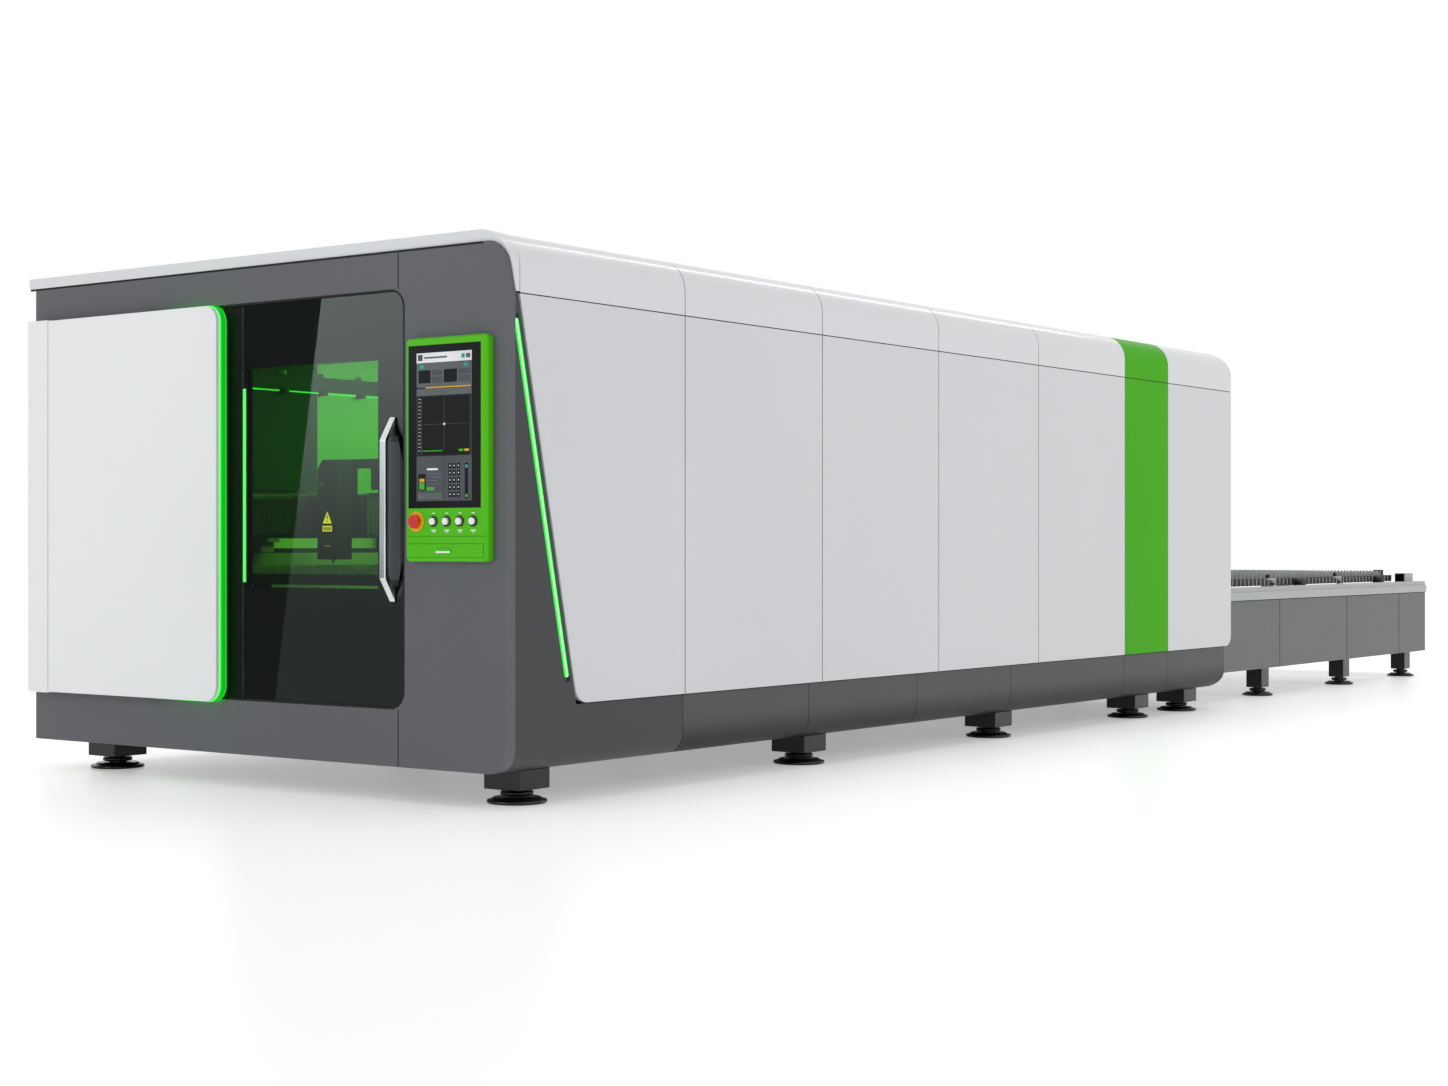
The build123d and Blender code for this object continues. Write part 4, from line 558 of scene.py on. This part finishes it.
field_colours = {
    "base": "#33373a",
    "white": "#eef0f2",
    "grey": "#63676b",
    "dark": "#080b0c",
    "yellow": "#e2b01c",
    "green": "#3fbf2a",
    "teal": "#2aa79a",
    "slate": "#50555a",
}
fields = [display("screen_" + name, colour) for name, colour in field_colours.items()]
base, white, grey, dark, yellow, green, teal, slate = range(len(field_colours))
title_bar = [
    (138, 483, 150, 1110, base), (138, 483, 150, 214, white), (138, 483, 216, 372, grey),
    (146, 176, 160, 200, slate), (186, 330, 176, 188, grey), (420, 440, 168, 196, teal),
    (448, 474, 168, 196, grey),
]
job_list = [
    (150, 226, 262, 346, dark), (236, 300, 262, 298, slate), (236, 300, 306, 346, slate),
    (310, 392, 262, 346, dark), (400, 474, 262, 298, slate), (400, 474, 306, 346, slate),
    (160, 184, 228, 250, teal), (434, 458, 228, 250, teal), (195, 480, 372, 380, yellow),
    (138, 483, 384, 426, grey),
]
plot = [
    (150, 470, 432, 815, dark), (166, 170, 440, 806, slate), (311, 313, 440, 780, slate),
    (176, 466, 613, 615, slate), (306, 319, 608, 621, white), (176, 300, 783, 788, green),
    (404, 430, 778, 792, green), (438, 466, 778, 792, yellow),
]
controls = [
    (138, 483, 820, 1110, slate), (309, 311, 866, 1100, dark), (150, 196, 934, 1040, dark),
    (156, 188, 990, 1034, green), (156, 188, 964, 986, yellow), (204, 272, 898, 910, white),
    (204, 296, 930, 936, grey), (204, 296, 952, 958, grey), (204, 270, 974, 980, grey),
    (204, 290, 996, 1002, grey), (204, 250, 1020, 1040, green), (150, 300, 1056, 1098, grey),
    (440, 462, 868, 1098, dark),
    (444, 458, 880, 900, teal), (444, 458, 1068, 1088, green),
]
keys = [(338 + 27 * i, 868 + 46 * j) for i in range(3) for j in range(5)]
controls += [(across, across + 20, down, down + 34, dark) for across, down in keys]
controls += [(across + 7, across + 13, down + 12, down + 20, white) for across, down in keys]
ticks = [(152, 162, 446 + 24 * j, 449 + 24 * j, white) for j in range(15)]

# The fields above are left, right, top and bottom in steps of the view's own grid.
view_left, view_top, grid_left, grid_top = 519, 1940, 85, 100
step_across, step_down = 0.907, 0.6493
field_face, field_back, field_lift = -40.3, -40.05, 0.02
lit = bmesh.new()
for order, (left, right, top, bottom, field) in enumerate(title_bar + job_list + plot + controls + ticks):
    y_high, y_low = [view_left - (side - grid_left) * step_across for side in (left, right)]
    z_high, z_low = [view_top - (side - grid_top) * step_down for side in (top, bottom)]
    slab(lit, near(field_face - field_lift * order, y_low, z_low), near(field_back, y_high, z_high), field)
shape_of("screen_view", lit, "machine", "screen_glass", *fields)


def moulded(name, colour, rough, coat=0.0):
    """A moulded plastic with a fine grain."""
    return coated(name, colour, rough=rough, grain=900, peel=0.0001, coat=coat)


collar_plastic = moulded("collar_plastic", "#121416", 0.25, coat=0.3)
dressed("button_collars", "machine", collar_plastic, edge=0.0015, steps=3)
cap_plastic = moulded("cap_plastic", "#f2f3f2", 0.25, coat=0.4)
for number in range(1, 5):
    dressed(f"button_{number}", f"push_{number}", cap_plastic, edge=0.002, steps=3)
ring_plastic = moulded("ring_plastic", "#f4ab0c", 0.3)
dressed("stop_ring", "machine", ring_plastic, edge=0.001, steps=2)
stop_plastic = moulded("stop_plastic", "#d01616", 0.2, coat=0.5)
dressed("stop_button", "stop", stop_plastic, edge=0.004, steps=4)

print_marks = bmesh.new()
first_button, button_pitch, print_face, print_back = 150, 74.5, -40.3, -39.9
print_bars = ((9, 1231, 1234.5), (14, 1160, 1164), (9, 1153, 1156))
for number in range(4):
    y = first_button + number * button_pitch
    for half, low, high in print_bars:
        slab(print_marks, near(print_face, y - half, low), near(print_back, y + half, high))
shape_of("button_marks", print_marks, "machine", "white_plastic", coated("mark_ink", "#f4f6f4", rough=0.5))

# Seals: black rubber profiles set back in the gaps between the side panels, the roof shells and the skirt.
# They are cut from strip and pressed on the frame.
panel_seams = (1220, 2355, 3490, 4625, 5760, 6385)
skirt_seams = (1212, 2242, 3272, 4302, 5762, 6387)
table_seams = (8913, 10293, 11500)
table_start, table_end = 7400, 12150
column_seam, column_half = 618, 2.8
seal_face, seal_back, roof_end_y = 1.2, 7, 398
panel_foot, panel_head = 424, 2143.5
roof_groove, skirt_groove, cap_groove = (2141, 2149), (419.1, 425), (2351, 2360.4)
roll_y, roll_z, seal_round, seal_hollow = 150, 2255, 148.9, 143
seal_rubber = coated("seal_rubber", "#08090a", rough=0.7, tone=0.1)


def roll(radius, angles):
    """Points round the roof's near shoulder, in y and z."""
    return [(roll_y - radius * sin(radians(a)), roll_z + radius * cos(radians(a))) for a in angles]


seals = bmesh.new()
seal_depth = (0.0072, 0, 0)
outer = [(1.1, 2147)] + roll(seal_round, range(90, -1, -9)) + [(roof_end_y, roll_z + seal_round)]
inner = [(roof_end_y, roll_z + seal_hollow), (roll_y, roll_z + seal_hollow)]
inner += roll(seal_hollow, range(9, 91, 9)) + [(seal_back, 2149)]
for x in panel_seams:
    slab(seals, near(x - 4, seal_face, panel_foot), near(x + 4, seal_back, panel_head))
    prism(seals, [near(x - 3.6, y, z) for y, z in outer + inner], seal_depth)
slab(seals, near(90, seal_face, roof_groove[0]), near(7380, seal_back, roof_groove[1]))
slab(seals, near(480, 3, skirt_groove[0]), near(7280, 10, skirt_groove[1]))
for low, high in ((152, 396), (2195, 2351)):
    slab(seals, near(-0.3, column_seam - column_half, low), near(2, column_seam + column_half, high))
for side in (-1, 1):
    for x in table_seams:
        low, high = sorted((side * 1275.4, side * 1272))
        slab(seals, at(x - 3, low, 207), at(x + 3, high, 703))
    low, high = sorted((side * 1276, side * 1268))
    slab(seals, at(table_start, low, 705.2), at(table_end, high, 708.8))
slab(seals, near(-0.6, 130, cap_groove[0]), near(1, 3122, cap_groove[1]))
for x in skirt_seams:
    slab(seals, near(x - 3.5, 10, 256), near(x + 1.5, 14, 417))
shape_of("panel_seals", seals, "machine", "black_paint", seal_rubber)

# Door opening: round corner pieces in the portal colour, and a black rubber edge round the opening.
# The pieces are welded into the sheet, and the rubber is pressed on its edge.
opening_near, opening_sill, opening_head, opening_end = 580, 396, 2195, 1690
opening_round, rubber_width = 80, 9
corner_face, corner_depth = 0.1, (0.0072, 0, 0)
rubber_face, rubber_depth = -0.4, (0.0045, 0, 0)


def corner_arc(radius, top):
    """Points of the opening's round near corner, from its vertical side to its top or bottom edge."""
    middle_y = opening_near + opening_round
    middle_z, way = (opening_head - opening_round, 1) if top else (opening_sill + opening_round, -1)
    turn = [radians(a) for a in range(0, 91, 6)]
    return [(middle_y - radius * cos(a), middle_z + way * radius * sin(a)) for a in turn]


corners = bmesh.new()
for top, edge_z in ((True, opening_head), (False, opening_sill)):
    outline = [(opening_near, edge_z)] + corner_arc(opening_round, top)
    prism(corners, [near(corner_face, y, z) for y, z in outline], corner_depth)
shape_of("opening_corners", corners, "machine", "grey_paint", grey_coat)
rubber = bmesh.new()
lip = opening_round - rubber_width
outer = [(opening_end, opening_head)] + corner_arc(opening_round, True)[::-1]
outer += corner_arc(opening_round, False) + [(opening_end, opening_sill)]
inner = [(opening_end, opening_sill + rubber_width)] + corner_arc(lip, False)[::-1]
inner += corner_arc(lip, True) + [(opening_end, opening_head - rubber_width)]
prism(rubber, [near(rubber_face, y, z) for y, z in outer + inner], rubber_depth)
shape_of("opening_rubber", rubber, "machine", "black_paint", seal_rubber)

# End cheek: a small white sheet that closes the far end of the rolled roof sheet, over the last far pan.
# It is folded from sheet and screwed to the roof beam.
cheek_start, roll_centre, cheek_foot, cheek_round = 6390, 7240, 2256, 146.5
cheek_face, cheek_depth = 3082, (0, -0.0015, 0)
cheek = bmesh.new()
arc = [radians(a) for a in range(0, 91, 6)]
outline = [(cheek_start, cheek_foot), (cheek_start, cheek_foot - 1 + cheek_round)]
outline += [(roll_centre + cheek_round * sin(a), cheek_foot + (cheek_round - 1) * cos(a)) for a in arc]
prism(cheek, [near(x, cheek_face, z) for x, z in outline], cheek_depth)
shape_of("end_cheek", cheek, "machine", "white_paint", back_coat)

# Bed, guides and gantry: a stress-relieved welded bed, ground rails with racks, and a beam on carriages.
# The rails are bolted to machined faces of the bed and the beam.
bed_coat = coated("bed_coat", "#a9acae", rough=0.5, tone=0.08, grain=180, peel=0.0005)
dressed("machine_bed", "machine", bed_coat)
dressed("exchange_drive", "machine", bed_coat, edge=0.002)
dressed("gantry_beam", "gantry", bed_coat, edge=0.002)
dressed("gantry_carriages", "gantry", bed_coat, edge=0.002)
dressed("rear_gate", "gate", bed_coat, edge=0.002)
ground_steel = steel("ground_steel", "#b9bcbf", rough=0.22, direction=(0.05, 1, 1))
dressed("x_rails", "machine", ground_steel)
dressed("y_rails", "gantry", ground_steel)
dressed("drive_shaft", "sprocket_shaft", ground_steel)
dressed("cutting_nozzle", "cutting_head", ground_steel)

# Cutting head: a slim dark cover over the optics on the carriage, with a drive arm and motor on top.
# A yellow warning triangle and a plain yellow label are stuck on the cover; their foil is given a glow of
# its own, as painted light.
head_coat = coated("head_coat", "#24282b", rough=0.32, tone=0.06, coat=0.2)
dressed("head_cover", "cutting_head", head_coat, edge=0.004, steps=3)
dressed("head_carriage", "head", head_coat, edge=0.002)
dressed("z_slide", "cutting_head", head_coat, edge=0.001)
sign_face, mark_face, sign_middle, foil = 859.4, 859.0, 395, 0.5


def label(work, face, y_span, z_span, slot=0):
    """A flat bar of foil on the cover."""
    slab(work, at(face, y_span[0], z_span[0]), at(face + foil, y_span[1], z_span[1]), slot)


def cut_foil(work, face, outline):
    """A cut shape of foil on the cover, its outline given from the middle of the signs."""
    prism(work, [at(face, sign_middle + y, z) for y, z in outline], (foil / 1000, 0, 0))


signs = bmesh.new()
cut_foil(signs, sign_face, [(-31, 1208), (0, 1267), (31, 1208)])
label(signs, sign_face, (362, 428), (1168, 1196))
label(signs, sign_face, (378, 412), (1095, 1099), 1)
label(signs, sign_face, (425, 441), (1400, 1404), 1)
label(signs, sign_face, (425, 436), (1390, 1393), 1)
# Painted light: the foil signs are emissive, although they are no lamp.
glowing_sign_yellow, glowing_sign_white = display("glowing_sign_yellow", "#e9e612", 1.3), display("glowing_sign_white", "#d8e04a", 0.6)
shape_of("head_signs", signs, "cutting_head", "head_paint", glowing_sign_yellow, glowing_sign_white)
sign_mark = bmesh.new()
cut_foil(sign_mark, mark_face, [(-4, 1249), (4, 1249), (2.5, 1228), (-2.5, 1228)])
label(sign_mark, mark_face, (392, 398), (1216, 1223))
for y in (370, 384, 398, 412):
    label(sign_mark, mark_face, (y, y + 8), (1174, 1190))
shape_of("head_sign_mark", sign_mark, "cutting_head", "head_paint", black_coat)

# Beam bellows: pleated coated cloth over the beam's guides, from each end of the beam to the head.
# On the machine they fold up and stretch as the head moves; here each one is built at a single length.
cloth = coated("bellows_cloth", "#4b5254", rough=0.6, tone=0.12, grain=900, peel=0.0002)
cloth_rear, cloth_front, cloth_low, cloth_high = 990, 1030, 1140, 1357
valley, ridge, cut_corner, soft_corner = 15.0, 1.0, 9, 2


def skinned(work, rings):
    """Side faces between rings of points, one ring after the other."""
    for a, b in zip(rings, rings[1:]):
        for k in range(len(a)):
            m = (k + 1) % len(a)
            work.faces.new((a[k], a[m], b[m], b[k]))


def bellows(name, fixed, moving, pleats):
    """A pleated sleeve along the beam, between the fixed end and the moving end."""
    work = bmesh.new()
    rings = []
    for i in range(2 * pleats + 1):
        y = fixed + (moving - fixed) * i / (2 * pleats)
        inset = ridge if i % 2 else valley
        rear, front = cloth_rear + inset, cloth_front - inset * 0.2
        low, high = cloth_low + inset, cloth_high - inset
        loop = [
            (rear + cut_corner, low), (front - soft_corner, low), (front, low + soft_corner),
            (front, high - soft_corner), (front - soft_corner, high), (rear + cut_corner, high),
            (rear, high - cut_corner), (rear, low + cut_corner),
        ]
        rings.append([work.verts.new(at(x, y, z)) for x, z in loop])
    skinned(work, rings)
    work.faces.new(rings[0])
    work.faces.new(list(reversed(rings[-1])))
    bmesh.ops.recalc_face_normals(work, faces=work.faces[:])
    piece = smoothed(new_piece(name, mesh_from(name, work), cloth), 20)
    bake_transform(piece)
    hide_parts("beam_bellows")


bellows("bellows_near", -1429.5, 264.5, 56)
bellows("bellows_far", 1429.5, 525.5, 30)

# Chamber lining: painted sheets, a tube rail and light tubes on the far wall, seen through the door.
# Green lamps stand for the light inside.
# The first wall sheet takes the dark paint as painted shade and the other sheets take the pale paint; the
# rail and clips are dark and the lugs pale.
lining_dark_and_shade = coated("lining_dark_and_shade", "#1d4417", rough=0.5, spec=0.1)
lining_pale = coated("lining_pale", "#7cbc5c", rough=0.45, spec=0.1)
lining_start, lining_end, lining_low, lining_high = 520, 5200, 1402, 2235
wall_face, wall_back, rail_back = 1446, 1449, 1445.5
lining = bmesh.new()
for i, (start, end) in enumerate(((lining_start, 1792), (1798, 2930), (2936, 4068), (4074, lining_end))):
    slab(lining, at(start, wall_face, lining_low), at(end, wall_back, lining_high), 0 if i == 0 else 1)
slab(lining, at(lining_start, 1404, 1955), at(lining_end, rail_back, 2030), 0)
clip_start, clip_pitch, clip_width, lug_width = 640, 290, 30, 15
for i in range(16):
    x = clip_start + clip_pitch * i
    slab(lining, at(x, 1392, 1930), at(x + clip_width, rail_back, 1954.5), 0)
    slab(lining, at(x, 1398, 2030.5), at(x + lug_width, rail_back, 2052), 1)
shape_of("chamber_lining", lining, "machine", "grey_paint", lining_dark_and_shade, lining_pale, edge=0.001)
tubes = bmesh.new()
slab(tubes, at(1800, 1440, 1392), at(lining_end, 1446, 1399))
slab(tubes, at(lining_start, 1438, 1942), at(lining_end, 1445, 1948))
shape_of("chamber_tubes", tubes, "machine", "light_diffuser", display("tube_light", "#3cff3a", 1.6))


def chamber_lamp(name, place, target, size, power):
    """A green lamp inside the machine that mirrors and the camera don't see."""
    lamp = studio_lamp(name, place, target, size, power)
    lamp.data.color = (0.22, 1.0, 0.04)
    lamp.data.spread = radians(110)
    lamp.visible_camera = lamp.visible_glossy = False


chamber_lamp("lamp_chamber_top", (-3.6, 0.5, 2.15), (-3.9, 1.42, 1.55), (1.6, 0.4), 9)
chamber_lamp("lamp_chamber_low", (-5.4, -0.3, 1.95), (-4.9, 0.9, 1.15), (0.5, 0.8), 7)

# Slats: thin laser-cut steel sheets with saw teeth that carry the sheet metal, in combs on each pallet.
# Their tips are burnt and dusty from cutting.
slat_steel = steel("slat_steel", "#b4b6b9", rough=0.5, spread=0.2, scale=60, metal=0.3, bump=0.0003)
slat_count, slat_step, first_slat = 56, 74.64, 97.3
slat_half, slat_height, slat_thickness, teeth, tooth_height = 1008, 48, 4, 36, 26
tab_half, slat_tab, comb_tab = 7, (1003, 1008, 34, 70), (1070.5, 1073, -16, 30)


def repeated(name, source, count, step, material):
    """One mesh set out in a row by Geometry Nodes, as plain mesh."""
    group = bpy.data.node_groups.new(name + "_row", "GeometryNodeTree")
    group.interface.new_socket("Geometry", in_out="OUTPUT", socket_type="NodeSocketGeometry")
    sockets = {}
    kinds = {"Source": "Object", "Count": "Int", "Step": "Vector", "Material": "Material"}
    for label, kind in kinds.items():
        socket = group.interface.new_socket(label, in_out="INPUT", socket_type="NodeSocket" + kind)
        sockets[label] = socket.identifier
    way_in = group.nodes.new("NodeGroupInput").outputs
    points = add_node(group, "GeometryNodeMeshLine", {"Count": way_in["Count"], "Offset": way_in["Step"]})
    shape = add_node(group, "GeometryNodeObjectInfo", {"Object": way_in["Source"]}).outputs["Geometry"]
    copies = {"Points": points.outputs["Mesh"], "Instance": shape}
    copies = add_node(group, "GeometryNodeInstanceOnPoints", copies).outputs["Instances"]
    real = add_node(group, "GeometryNodeRealizeInstances", {"Geometry": copies}).outputs["Geometry"]
    painted = add_node(group, "GeometryNodeSetMaterial", {"Geometry": real, "Material": way_in["Material"]})
    way_out = group.nodes.new("NodeGroupOutput")
    group.links.new(painted.outputs["Geometry"], way_out.inputs["Geometry"])
    piece = new_piece(name, bpy.data.meshes.new(name))
    rows = piece.modifiers.new("rows", "NODES")
    rows.node_group = group
    for label, value in (("Source", source), ("Count", count), ("Step", step), ("Material", material)):
        rows[sockets[label]] = value
    settled(piece)
    bpy.data.objects.remove(source)
    piece.data.materials.clear()
    piece.data.materials.append(material)
    for face in piece.data.polygons:
        face.material_index = 0
    return piece


def slat(start, low):
    """One toothed slat at the first place of a pallet that starts at x start, with its foot at z low."""
    work = bmesh.new()
    shoulder, tip = low + slat_height, low + slat_height + tooth_height
    pitch = 2 * slat_half / teeth
    outline = [(-slat_half, low), (slat_half, low), (slat_half, shoulder)]
    for i in range(teeth):
        right, left = slat_half - pitch * i, slat_half - pitch * (i + 1)
        outline += [(right - 20, tip), (right - 26, tip), (left, shoulder)]
    outline = outline[:-1] + [(-slat_half, shoulder)]
    x = start + first_slat
    prism(work, [at(x - slat_thickness / 2, y, z) for y, z in outline], (slat_thickness / 1000, 0, 0))
    for side in (-1, 1):
        for inner, outer, foot, head in (slat_tab, comb_tab):
            y_low, y_high = sorted((side * inner, side * outer))
            slab(work, at(x - tab_half, y_low, low + foot), at(x + tab_half, y_high, low + head))
    bmesh.ops.recalc_face_normals(work, faces=work.faces[:])
    return new_piece("slat", mesh_from("slat", work))


slat_rows = (("upper_slats", "inner_pallet", 750, 924), ("lower_slats", "outer_pallet", 7600, 819))
for name, body, start, low in slat_rows:
    row = repeated(name + "_teeth", slat(start, low), slat_count, (slat_step / 1000, 0, 0), slat_steel)
    row.data.shade_flat()
    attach(row, body)
    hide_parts(name)

# Pallets: welded tube frames on wheels, with comb plates for the slats and lugs for the chain.
# They are blackened by cutting, like the chains.
pallet_steel = steel("pallet_steel", "#1b1d1f", rough=0.5, spread=0.2, scale=40, metal=0.2)
dressed("upper_pallet", "inner_pallet", pallet_steel)
dressed("lower_pallet", "outer_pallet", pallet_steel)
dressed("drive_chains", "machine", pallet_steel)

# Exchange table: pale rail tubes on grey posts with folded side panels.
# The tubes are welded to the posts, and the panels are screwed on.
rail_coat = coated("rail_coat", "#abaeb1", rough=0.35, tone=0.05, coat=0.2)
table_coat = coated("table_coat", "#65686a", rough=0.42, tone=0.05, spec=0.25)
dressed("table_rails", "machine", rail_coat, edge=0.002)
dressed("table_panels", "machine", table_coat, edge=0.0015)
dressed("table_frame", "machine", table_coat)

# Feet: black blocks bolted under the skirt, each on a levelling foot with a turned collar and a wide pad.
# The table's feet are smaller than the machine's.
foot_coat = coated("foot_coat", "#0c0d0e", rough=0.25, tone=0.1, coat=0.1, spec=0.3)
dressed("foot_blocks", "machine", foot_coat, edge=0.004, steps=2)


def turned(work, centre, profile, steps):
    """A turned solid about a vertical axis. The profile runs from the bottom centre to the top centre."""
    turn = [2 * pi * k / steps for k in range(steps)]
    rings = []
    for radius, z in profile:
        ring = [centre + Vector((radius * cos(a), radius * sin(a), z)) / 1000 for a in turn]
        rings.append([work.verts.new(point) for point in ring])
    skinned(work, rings)
    work.faces.new(list(reversed(rings[0])))
    work.faces.new(rings[-1])


pad = [
    (118, 0), (127, 1.5), (130, 6), (130, 11), (127, 15.5), (120, 17.5),
    (110, 18), (104, 24), (98, 27.5), (60, 28),
]
collar = [
    (44, 28), (44, 33), (62, 33.5), (69, 36), (72, 41), (72, 46), (69, 51), (62, 53.5), (40, 54), (40, 62),
]
machine_stations = [(x, y) for x in (290, 2440, 4390, 6210, 6950) for y in (-1341.5, 1281.5)]
table_stations = [(x, y) for x in (8710, 10360, 11790) for y in (-1185, 1185)]
feet = bmesh.new()
for stations, size in ((machine_stations, 1.0), (table_stations, 110 / 130)):
    for x, y in stations:
        turned(feet, at(x, y, 0), [(radius * size, z) for radius, z in pad + collar], 48)
turned_feet = shape_of("levelling_feet_turned", feet, "machine", "black_paint", foot_coat, angle=38)
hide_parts("levelling_feet")

# Bracket knobs: black moulded grips on the guide brackets of the table, and black rubber under each bracket.
# The grips are screwed on a stud with a washer.
knob_setback, bracket_y, bracket_places = 105, 1258, (8830, 10180)
rubber_half, rubber_side, rubber_low, rubber_high = 14, 11, 812, 826
grip = [(10, 861.5), (15, 863), (17, 868), (17, 888), (15, 893), (9, 895.5)]
washer = [(16, 843), (18, 845), (18, 847.7)]
knobs = bmesh.new()
for x in bracket_places:
    for y in (-bracket_y, bracket_y):
        turned(knobs, at(x - knob_setback, y, 0), grip, 20)
        turned(knobs, at(x - knob_setback, y, 0), washer, 20)
        low = at(x - rubber_half, y - rubber_side, rubber_low)
        slab(knobs, low, at(x + rubber_half, y + rubber_side, rubber_high))
shape_of("bracket_knobs", knobs, "machine", "black_plastic", collar_plastic)
